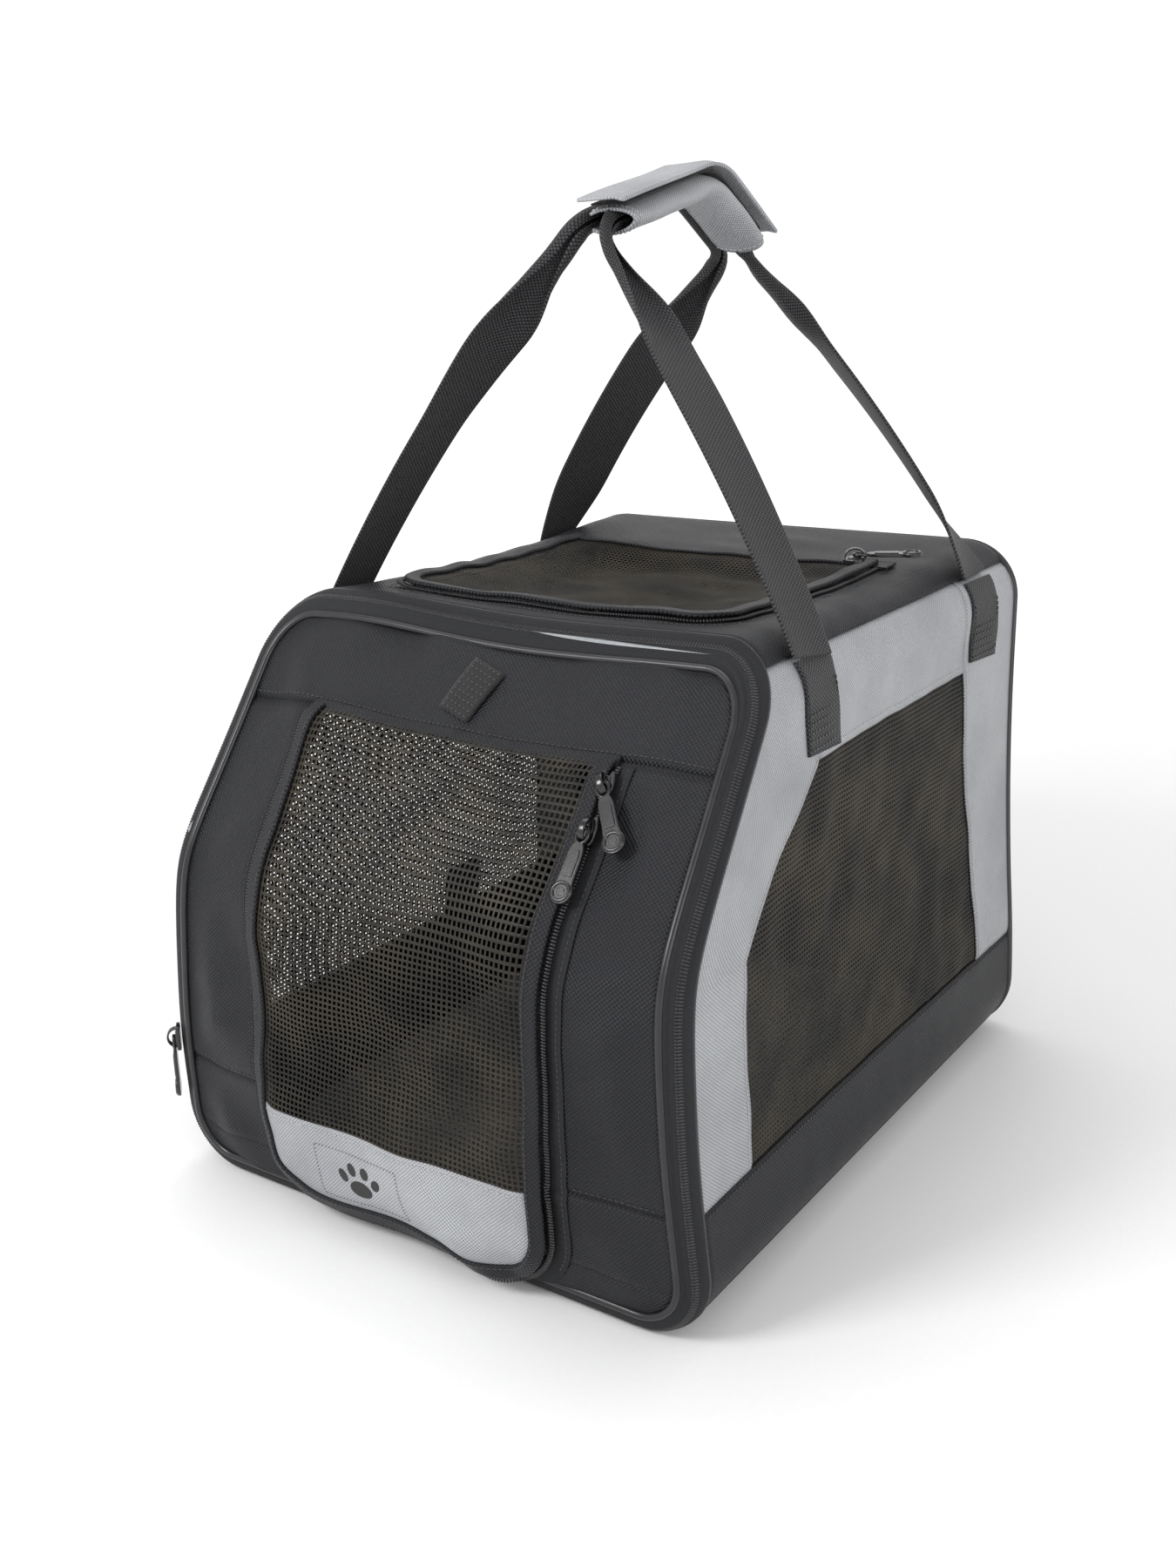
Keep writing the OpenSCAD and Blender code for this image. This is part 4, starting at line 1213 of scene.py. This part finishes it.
def make_badge():
    """A generic paw print inside a stitched box, low on the door."""
    x0, x1, z0, z1 = -52.0, 8.0, 27.0, 61.0
    corners = [(x0, z0), (x1, z0), (x1, z1), (x0, z1), (x0, z0)]
    path = []
    for a, b in zip(corners[:-1], corners[1:]):
        count = int(math.hypot(b[0] - a[0], b[1] - a[1]) / 2)
        path += [(a[0] + (b[0] - a[0]) * k / count, a[1] + (b[1] - a[1]) * k / count) for k in range(count)]
    path.append(corners[0])
    box = stitches("badge_box", door_skin, path, BLACK_THREAD, 0.62, 1.3, 2.4, 1.0, 0.26)
    finish_piece(box, "door")
    cx, cz = (x0 + x1) / 2, 40.0
    ovals = [((cx, cz - 1), (7.6, 5.6), 0.0)]
    for x, z, turn in ((-11.5, 5.5, 0.5), (-4.6, 11.0, 0.15), (4.6, 11.0, -0.15), (11.5, 5.5, -0.5)):
        ovals.append(((cx + x, cz + z), (2.9, 4.3), turn))
    parts = [disc_on("badge_oval", door_skin, c, r, t, 0.60, PRINT) for c, r, t in ovals]
    finish_piece(join("badge_print", parts), "door")


def make_keeper():
    """The tab of fastening tape on the header, sewn on askew."""
    turn = math.radians(-18)
    a = np.linspace(-11, 11, 12)
    b = np.linspace(-17, 17, 18)
    aa, bb = np.meshgrid(a, b, indexing="ij")

    def place(a, b):
        x = -2 + a * math.cos(turn) - b * math.sin(turn)
        return x, DOOR_TOP + 21 + 0.77 * (a * math.sin(turn) + b * math.cos(turn))

    def crown(b):
        return 0.9 * np.sin(np.pi * (b + 17) / 34)

    p = lifted(front, *place(aa, bb), 1.7 + crown(bb))[0]
    tab = sheet_piece("keeper_tape", p, HOOKS, False, 1.4)
    finish_piece(tab, "shell", ["keeper_tab"])
    rows = []
    for k, b in enumerate(np.linspace(-15, 15, 9)):
        path = np.stack(place(between(-10, 10, 2), b), -1)
        height = 1.9 + crown(b)
        rows.append(stitches(f"keeper_row_{k}", front, path, BLACK_THREAD, height, 3.0, 3.4, 1.0, 0.4))
    finish_piece(join("keeper_rows", rows), "shell")


# ---------- hatch ----------


def make_hatch():
    """The hatch's netting, binding and teeth, and the tape, hinge strip and end tabs on the top panel."""

    def inside(x, y):
        return hatch_inside(x, y, -7.0)

    columns, depths = (-112, 112), (HATCH_FRONT, HATCH_REAR)
    net = lattice("hatch_net", hatch_skin, columns, depths, inside, NET, 3.0, 0.58, 1.0, 0.3, 0.45)
    finish_piece(net, "hatch", ["hatch_mesh"])
    edge = strip_over("hatch_edge", hatch_skin, hatch_path(-4.5, HATCH_REAR - 1), 0.0, 5.0, 2.8, BLACK)
    path = [(x, HATCH_REAR - 4.5) for x in between(-112, 112, 4)]
    rear_edge = strip_over("hatch_rear", hatch_skin, path, 0.2, 4.5, 1.8, BLACK)
    finish_piece(join("hatch_edge", [edge, rear_edge]), "hatch", ["hatch_binding"])
    row = stitches("hatch_edge_stitches", hatch_skin, hatch_path(-7.4, HATCH_REAR - 6), BLACK_THREAD, 2.6)
    finish_piece(row, "hatch")
    p, up = on_surface(hatch_skin, hatch_path(2.4, HATCH_REAR - 3), -0.8)
    finish_piece(teeth("hatch_teeth", p, up, 4.6, 1.75, 0.75, COIL), "hatch", ["hatch_zip_coil"])
    tape = strip_over("hatch_tape", top_wall, hatch_path(5.0, HATCH_REAR - 2), 0.2, 6.4, 0.8, TAPE)
    finish_piece(tape, "shell", ["hatch_zip_tape"])
    row = stitches("hatch_tape_stitches", top_wall, hatch_path(8.8, HATCH_REAR - 4), BLACK_THREAD, 1.1)
    finish_piece(row, "shell")
    path = [(x, HATCH_REAR + 3.5) for x in between(-120, 120, 4)]
    lip = strip_over("hatch_hinge_strip", top_wall, path, 0.4, 5.5, 1.6, BLACK)
    finish_piece(lip, "shell")
    tabs = []
    for x in (-HATCH_HALF - 2.4, HATCH_HALF + 2.4):
        path = [(x, HATCH_REAR - 2 + k) for k in np.linspace(-7, 7, 8)]
        tabs.append(strip_over("hatch_tab", top_wall, path, 2.0, 7.0, 1.4, BLACK))
    finish_piece(join("hatch_zip_tabs", tabs), "shell")


# ---------- handle ----------

LEAVE = math.radians(38)
TOP_CENTRE = (float(side_x(BODY_H - CORNER_R)) - CORNER_R, BODY_H - CORNER_R)
ANCHOR_R = CORNER_R + 2.2
ANCHOR = (TOP_CENTRE[0] + ANCHOR_R * math.cos(LEAVE), TOP_CENTRE[1] + ANCHOR_R * math.sin(LEAVE))
GRIP_FRONT = np.array([-6.0, GRIP_Z - 20])
GRIP_PEAK = np.array([88.0, GRIP_Z])
GRIP_REAR = np.array([142.0, GRIP_Z - 34])
LEFT_FRONT_TURNS = ((0, 0), (0.5, 8), (0.85, 40), (1, 60))
RIGHT_FRONT_TURNS = ((0, 0), (0.6, -8), (0.85, 0), (1, 30))
REAR_TURNS = ((0, 0), (0.2, 35), (0.8, 45), (1, 60))
WEB_T = 1.9


def grip_line(past=0.0, step=2.0, bend=14.0):
    """The grip's centre line from front to rear as depth and height, softened at its bend."""
    first = (GRIP_FRONT - GRIP_PEAK) / np.linalg.norm(GRIP_FRONT - GRIP_PEAK)
    last = (GRIP_REAR - GRIP_PEAK) / np.linalg.norm(GRIP_REAR - GRIP_PEAK)
    start, end = GRIP_FRONT + first * past, GRIP_REAR + last * past
    a, b = GRIP_PEAK + first * bend, GRIP_PEAK + last * bend
    front_part = [start + (a - start) * t for t in np.linspace(0, 1, int(np.linalg.norm(a - start) / step))]
    curve = [a * (1 - t) ** 2 + GRIP_PEAK * 2 * t * (1 - t) + b * t * t for t in np.linspace(0, 1, 14)[1:-1]]
    rear_part = [b + (end - b) * t for t in np.linspace(0, 1, int(np.linalg.norm(end - b) / step))]
    return np.array(front_part + curve + rear_part)


def strap_half(y, grip_end, x_end, turns, side, n=40):
    """One strap from its anchor to the grip: places, width directions and how far it has curled up."""
    t = np.linspace(0, 1, n)[:-1]
    start = np.array([ANCHOR[0], y, ANCHOR[1]])
    end = np.array([x_end, grip_end[0], grip_end[1]])
    bow = np.cross(end - start, [0, 1, 0])
    bow = bow / np.linalg.norm(bow) * 9
    places = start + (end - start) * t[:, None] - bow * (4 * t * (1 - t))[:, None]
    turn = np.radians(np.interp(t, [k for k, _ in turns], [v for _, v in turns]))
    widths = np.stack([-np.sin(turn), np.cos(turn), 0 * turn], -1)
    curl = 0.12 + 2.9 * smooth(t, 0.66, 1.0)
    mirror = np.array([side, 1, 1])
    return places * mirror, widths * mirror, curl


def web_ribbon(name, places, widths, curl):
    """A strip of webbing whose width curls up where curl grows, to pass through the grip."""
    run = np.concatenate([[0], np.cumsum(np.linalg.norm(np.diff(places, axis=0), axis=1))])
    at = np.arange(0, run[-1], 3.5)
    half = WEB_W / 2

    def resample(values):
        """Values at even distances, evened out over seven neighbours."""
        columns = []
        for column in values.T:
            padded = np.pad(np.interp(at, run, column), 3, "reflect", reflect_type="odd")
            columns.append(np.convolve(padded, np.ones(7) / 7, "valid"))
        return np.stack(columns, -1)

    p = resample(places)
    w = resample(widths)
    c = resample(curl[:, None])[:, 0]
    t = np.gradient(p, axis=0)
    t = t / np.linalg.norm(t, axis=1, keepdims=True)
    w = w - (w * t).sum(1, keepdims=True) * t
    w = w / np.linalg.norm(w, axis=1, keepdims=True)
    up = np.cross(t, w)
    outline = flat_section(half, WEB_T, 11)
    a, b = outline[:, 0], outline[:, 1] - WEB_T / 2
    phi = np.maximum(c, 0.02)[:, None]
    radius = half / phi
    angle = phi * a[None] / half
    squash = 1 - 0.5 * smooth(c, 0.5, 2.5)[:, None]
    x = (radius + b[None]) * np.sin(angle)
    y = ((radius + b[None]) * np.cos(angle) - radius) * squash + (radius * (1 - np.cos(phi)) / 2) * squash
    ring = p[:, None] + w[:, None] * x[..., None] + up[:, None] * y[..., None]
    ring = np.concatenate([ring, ring[:, :1]], 1)
    n, m = ring.shape[:2]
    around = np.concatenate([a, a[:1]])
    uu, vv = np.meshgrid(around, at)
    verts = ring.reshape(-1, 3)
    faces = [tuple(f) for f in grid_faces(n, m, False)]
    faces.append(tuple(reversed(range(m - 1))))
    faces.append(tuple((n - 1) * m + k for k in range(m - 1)))
    obj = new_object(name, verts, faces, np.stack([uu, vv], -1).reshape(-1, 2) * MM, WEBBING)
    join_seam(obj)
    return obj


def make_loop(side):
    """One side's webbing, from its front anchor through the grip to its rear anchor."""
    label = "left" if side < 0 else "right"
    x = 11.0 if side < 0 else 6.0
    grip = grip_line(6.0)
    turns = LEFT_FRONT_TURNS if side < 0 else RIGHT_FRONT_TURNS
    front_half = strap_half(FRONT_STRAP_Y, grip[0] - np.array([5.0, 6.0]), x, turns, side)
    rear_half = strap_half(REAR_STRAP_Y, grip[-1] + np.array([3.0, -7.0]), x, REAR_TURNS, side)
    middle = np.stack([np.full(len(grip), x * side), grip[:, 0], grip[:, 1]], -1)
    places = np.vstack([front_half[0], middle, rear_half[0][::-1]])
    across = np.repeat([[0.0, 0.0, -1.0]], len(grip), 0)
    widths = np.vstack([front_half[1], across, -rear_half[1][::-1]])
    curl = np.concatenate([front_half[2], np.full(len(grip), 3.0), rear_half[2][::-1]])
    ribbon = web_ribbon(f"{label}_webbing", places, widths, curl)
    finish_piece(ribbon, f"{label}_handle", [f"{label}_loop"])


def make_strap_ends(side):
    """The sewn ends of one side's webbing, up the side and round the top edge, with their stitching."""
    label = "left" if side < 0 else "right"
    low = float(s_at_height(276, 1))
    z_leave = TOP_CENTRE[1] + CORNER_R * math.sin(LEAVE - 0.01)
    high = float(s_at_height(z_leave, 1))
    pieces, rows = [], []

    def on_side(s):
        return s if side > 0 else LOOP_LEN - s

    def sew(path, lift, length, pitch, radius):
        height = 0.2 + WEB_T + lift
        rows.append(stitches("row", sleeve_at, path, BLACK_THREAD, height, length, pitch, -1.0, radius))

    for y in (FRONT_STRAP_Y, REAR_STRAP_Y):
        s = on_side(np.linspace(low, high, 26))
        p, _, _, n = lifted(sleeve_at, s, y + 0 * s, 0.2, -1.0)
        pieces.append(sweep_piece("sewn", p, n, flat_section(WEB_W / 2, WEB_T, 11), WEBBING))
        for k in range(5):
            s_row = on_side(low + 3.5 + 4.6 * k)
            sew([(s_row, y + v) for v in between(-WEB_W / 2 + 2, WEB_W / 2 - 2, 2)], 0.15, 3.2, 3.7, 0.5)
        for v in (-WEB_W / 2 + 2, WEB_W / 2 - 2):
            sew([(on_side(low + 3.5 + k), y + v) for k in np.arange(0, 36, 2)], 0.1, 2.8, 3.4, 0.4)
    finish_piece(join(f"{label}_sewn_straps", pieces), "shell", [f"{label}_strap_ends"])
    finish_piece(join(f"{label}_strap_stitches", rows), "shell")


def grip_points(offsets, past=0.0):
    """Points at each pair of across and height offsets along the grip: one row per place on its line."""
    line = grip_line(past)
    t = np.gradient(line, axis=0)
    t = t / np.linalg.norm(t, axis=1, keepdims=True)
    normal = np.stack([-t[:, 1], t[:, 0]], -1)
    offsets = np.asarray(offsets, float)
    if offsets.ndim == 2:
        offsets = np.repeat(offsets[None], len(line), 0)
    place = line[:, None] + normal[:, None] * offsets[..., 1:2]
    return np.concatenate([offsets[..., 0:1], place], -1)


def make_grip():
    """A padded sleeve open on the left, a strip of hook tape on top, and the flap over both."""
    line = grip_line()
    run = np.linspace(0, 1, len(line))
    angle = np.radians(np.linspace(-152, 148, 44))
    offsets = np.zeros((len(line), len(angle), 2))
    for i, r in enumerate(run):
        pinch = 1 - 0.07 * dip(r, 0.02) - 0.07 * dip(1 - r, 0.02)
        ripples = 1 + 0.03 * np.sin(9 * r + 2 * angle) + 0.02 * np.sin(23 * r + 3 * angle)
        offsets[i, :, 0] = 6 + 18.4 * np.cos(angle) * pinch * ripples
        offsets[i, :, 1] = 8.0 * np.sin(angle) * pinch * ripples
    keep = offsets[0, :, 0] > -7.6
    p = grip_points(offsets[:, keep])
    sleeve_cloth = sheet_piece("grip_cloth", p, GREY, False, 1.7)
    finish_piece(sleeve_cloth, "right_handle", ["grip_sleeve"])
    for name, row in (("front", 2), ("rear", len(line) - 3)):
        ring = p[row] + (p[row] - p[row].mean(0)) * 0.015
        out = ring - ring.mean(0)
        stitching = stitch_row(f"grip_{name}_stitches", ring, out, GREY_THREAD)
        finish_piece(stitching, "right_handle")
    across = np.linspace(-5, 18, 14)
    section = np.stack([across, 8.9 + 0 * across], -1)
    tape = sheet_piece("grip_hooks", grip_points(section), HOOKS, False, 1.0)
    finish_piece(tape, "right_handle", ["grip_hook_tape"])
    line = grip_line(10.0)
    run = np.linspace(0, 1, len(line))
    across = np.linspace(-7, 24, 20)
    offsets = np.zeros((len(line), len(across), 2))
    offsets[..., 0] = across[None] + 1.2 * np.sin(run * 7)[:, None] * smooth(-across, -8, 7)[None]
    wave = 0.8 * np.sin(run * 9 + 0.5)[:, None] * np.linspace(1, 0.3, len(across))[None]
    offsets[..., 1] = 12.6 + 1.3 * smooth(across, -7, 24)[None] + wave - 1.6 * smooth(across, 16, 24)[None]
    flap = sheet_piece("grip_flap_cloth", grip_points(offsets, 10.0), GREY, False, 1.9)
    finish_piece(flap, "flap", ["grip_flap"])
    for k, edge in enumerate((1, len(across) - 2)):
        p = grip_points(offsets, 10.0)[2:-2, edge] + np.array([0, 0, 0.3])
        finish_piece(stitch_row(f"flap_stitches_{k}", p, [0.0, 0.1, 1.0], GREY_THREAD), "flap")


# ---------- inside ----------


PAD_CAP = 0.004


def pad_shell(centre, half):
    """The padded floor before it swells: a rounded slab with drawn-in edges."""
    rings, spokes = 16, 96
    power = 2 / 9
    verts, faces = [], []
    for r in range(rings + 1):
        lift = -1 + 2 * r / rings
        inset = 9 * abs(lift) ** 3 + 3
        for k in range(spokes):
            a = 2 * math.pi * k / spokes
            c, s = math.cos(a), math.sin(a)
            x = math.copysign(abs(c) ** power, c) * (half[0] - inset)
            y = math.copysign(abs(s) ** power, s) * (half[1] - inset)
            verts.append((centre[0] + x, centre[1] + y, centre[2] + lift * (half[2] - 4)))
    for r in range(rings):
        for k in range(spokes):
            a, b = r * spokes + k, r * spokes + (k + 1) % spokes
            faces.append((a, b, b + spokes, a + spokes))
    faces.append(tuple(reversed(range(spokes))))
    faces.append(tuple(rings * spokes + k for k in range(spokes)))
    return new_object("pad_cloth", verts, faces, None, FLEECE)


def make_pad():
    """The padded floor: its shell is puffed up by a short cloth simulation."""
    low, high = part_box("floor_pad")
    low, high = np.array(low) / MM, np.array(high) / MM
    centre = (low + high) / 2
    pad = pad_shell(centre, (high - low) / 2)
    remesh = pad.modifiers.new("remesh", "REMESH")
    remesh.mode = "VOXEL"
    remesh.voxel_size = 0.006
    apply_modifiers(pad)
    rest = np.array([v.co[:] for v in pad.data.vertices])
    cloth = pad.modifiers.new("puff", "CLOTH")
    cloth.settings.use_pressure = True
    cloth.settings.uniform_pressure_force = 4
    cloth.settings.effector_weights.gravity = 0
    for number in range(1, 21):
        SCENE.frame_set(number)
    apply_modifiers(pad)
    SCENE.frame_set(1)
    moved = np.array([v.co[:] for v in pad.data.vertices]) - rest
    size = np.linalg.norm(moved, axis=1, keepdims=True)
    final = rest + moved * np.minimum(1, PAD_CAP / np.maximum(size, 1e-9))
    final[:, 2] = np.maximum(final[:, 2], (low[2] - 0.5) * MM)
    quilt = ripple(final[:, 0] / MM, final[:, 1] / MM, 120, 31) * 0.0012
    top = smooth(final[:, 2] / MM, centre[2], high[2])
    final[:, 2] += quilt * top
    pad.data.vertices.foreach_set("co", final.astype(np.float32).ravel())
    pad.data.polygons.foreach_set("use_smooth", [True] * len(pad.data.polygons))
    pad.data.materials.clear()
    pad.data.materials.append(FLEECE)
    pad.modifiers.new("finer", "SUBSURF").levels = 1
    finish_piece(pad, "shell", ["floor_pad"])


def make_tether():
    """The webbing tab inside the left window."""
    a = np.linspace(-19, 19, 14)
    b = np.linspace(-17, 17, 12)
    aa, bb = np.meshgrid(a, b, indexing="ij")
    p = lifted(side_wall(-1), 52 + aa, 92 + bb, -2.2, -1.0)[0]
    tab = sheet_piece("tether_web", p, WEBBING, False, 1.8)
    finish_piece(tab, "shell", ["tether_tab"])


def local_frame(at, along, out, turn=0.0):
    """Axes of a slider that runs along one direction and faces out along another, and its place."""
    y = np.array(along, float) / np.linalg.norm(along)
    z = np.array(out, float)
    z = z - (z @ y) * y
    z = z / np.linalg.norm(z)
    x = np.cross(y, z)
    c, s = math.cos(math.radians(turn)), math.sin(math.radians(turn))
    return np.array(at, float), np.stack([x * c + y * s, y * c - x * s, z])


def prism(outline, low, high):
    """A flat outline with a thickness, from low to high."""
    n = len(outline)
    verts = [(x, y, low) for x, y in outline] + [(x, y, high) for x, y in outline]
    faces = [tuple(reversed(range(n))), tuple(n + k for k in range(n))]
    faces += [(k, (k + 1) % n, n + (k + 1) % n, n + k) for k in range(n)]
    return verts, faces


def hard_part(name, shape, spot, bevel):
    """A small moulded part with rounded edges, set at a slider's place."""
    at, axes = spot
    verts = np.array(shape[0], float) @ axes + at
    obj = new_object(name, verts, shape[1], None, METAL)
    soft = obj.modifiers.new("round", "BEVEL")
    soft.width = bevel * MM
    soft.segments = 3
    soft.limit_method = "ANGLE"
    soft.harden_normals = True
    return obj


def bent_rod(name, path, up, half, thick, spot):
    """A flat bar bent along a path, set at a slider's place."""
    at, axes = spot
    path = np.array(path, float) @ axes + at
    return sweep_piece(name, path, np.array(up, float) @ axes, flat_section(half, thick, 5, 3), METAL)


def ring_part(name, centre, major, minor, spot, stretch=1.0):
    """A round-sectioned ring lying flat at a slider's place."""
    at, axes = spot
    a = np.linspace(0, 2 * math.pi, 40, endpoint=False)
    path = np.zeros((40, 3)) + np.array(centre, float)
    path[:, 0] += major * stretch * np.cos(a)
    path[:, 1] += major * np.sin(a)
    return sweep_piece(name, path @ axes + at, axes[2], round_section(minor), METAL, closed=True)


PULL_LEN = 34.0
PIN_Z = 4.2
SHIELD_HALF = [(3.2, -8), (4.6, -7), (5.5, -5), (5.5, 2), (4.8, 4.5), (3.8, 8), (1.6, 8), (1.2, 5.5)]
SHIELD = SHIELD_HALF + [(-x, y) for x, y in SHIELD_HALF[::-1]]


def finish_metal(name, parts):
    """Makes one metal piece of its parts, on the body and in the place of the same name."""
    for part in parts:
        apply_modifiers(part)
    finish_piece(join(f"{name}_metal", parts), name, [name])


def make_slider(name, spot, turned):
    """A slider: its shield, and the arched bridge that the pull hangs from."""
    angles = np.linspace(0.05, math.pi - 0.05, 18)
    arch = [(0, 5.6 * math.cos(a), 1.6 + 5.6 * math.sin(a) ** 0.8) for a in angles]
    arch_up = [(0, math.cos(a), math.sin(a)) for a in angles]
    finish_metal(f"{name}_slider", [
        hard_part("shield", prism(SHIELD, 0, 2.4), spot, 0.7),
        hard_part("crest", prism([(x * 0.62, y * 0.62) for x, y in SHIELD], 2.2, 3.0), spot, 0.35),
        bent_rod("bridge", arch, arch_up, 1.9, 1.1, turned),
    ])


def make_pull(name, spot):
    """A pull: an eye, a waisted plate and a round knob with a boss in it."""
    end = [(6.4 * math.sin(a), -PULL_LEN - 6.4 * math.cos(a)) for a in np.linspace(-2.25, 2.25, 28)]
    turns = np.linspace(0, 2 * math.pi, 20, endpoint=False)
    boss = [(2.4 * math.cos(a), -PULL_LEN + 2.4 * math.sin(a)) for a in turns]
    side = [(4.6, -PULL_LEN + 8), (4.4, -13), (3.6, -9.5), (2.4, -7.6)]
    outline = end + side + [(-x, y) for x, y in side[::-1]]
    panel = [(3.0, -26), (2.9, -14), (2.2, -11.5), (-2.2, -11.5), (-2.9, -14), (-3.0, -26)][::-1]
    finish_metal(f"{name}_pull", [
        hard_part("plate", prism(outline, PIN_Z - 1.1, PIN_Z + 1.0), spot, 0.6),
        hard_part("panel", prism(panel, PIN_Z + 0.8, PIN_Z + 1.5), spot, 0.3),
        ring_part("knob", (0, -PULL_LEN, PIN_Z + 0.7), 4.7, 1.2, spot),
        hard_part("boss", prism(boss, PIN_Z, PIN_Z + 1.3), spot, 0.4),
        ring_part("eye", (0, -3.6, PIN_Z), 4.4, 0.95, spot, 0.75),
    ])


def slider_and_pull(name, at, along, out, turn):
    """A slider with its pull, which hangs at an angle to the track."""
    turned = local_frame(at, along, out, turn)
    make_slider(name, local_frame(at, along, out), turned)
    make_pull(name, turned)


def cad_front(z):
    """The front as the CAD has it, with its tighter bend, where the sliders sit."""
    return float(front_at(z, CAD_KNEE_BLEND))


def zip_edge(is_front, z):
    """The middle of the left edge's zip at height z, at the front or the rear."""
    middle = EDGE_R * (1 - math.cos(math.radians(45)))
    y = cad_front(z) + middle if is_front else float(rear_at(z)) - middle
    return np.array([middle - float(side_x(z)), y, z])


def make_sliders():
    """Two sliders on the door, one on the hatch and one on each left edge."""
    slope = math.atan2(BODY_H - KNEE_Z, LEAN)
    out = np.array([0, -math.sin(slope), math.cos(slope)])
    along = np.array([0, math.cos(slope), math.sin(slope)])
    for name, z, turn in (("door_upper", 273.0, 33.0), ("door_lower", 254.0, 0.0)):
        at = np.array([DOOR_HALF + 1.7, cad_front(z), z]) + (6 * math.sin(slope) + 0.8) * out
        slider_and_pull(name, at, along, out, turn)
    slider_and_pull("hatch", (HATCH_HALF + 1.7, HATCH_REAR - 36, BODY_H + 6.8), (0, 1, 0), (0, 0, 1), 117.0)
    for name, is_front in (("front_zip", True), ("rear_zip", False)):
        out = np.array([-1, -1 if is_front else 1, 0]) / math.sqrt(2)
        place = zip_edge(is_front, 84.0)
        slider_and_pull(name, place + 2.8 * out, zip_edge(is_front, 114.0) - place, out, 0.0)


def dress_cad():
    """Finishes for the CAD solids that stay: the hoops and the base board."""
    for name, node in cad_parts.items():
        if name.endswith("hoop") or name == "base_board":
            node.data.materials.clear()
            node.data.materials.append(BOARD if name == "base_board" else ROD)


make_front()
make_rear()
make_end(is_front=True)
make_end(is_front=False)
for side in (-1, 1):
    make_side(side)
    make_strap_ends(side)
    make_loop(side)
make_top()
make_bottom()
make_door()
make_badge()
make_keeper()
make_hatch()
make_grip()
make_pad()
make_tether()
make_sliders()
dress_cad()
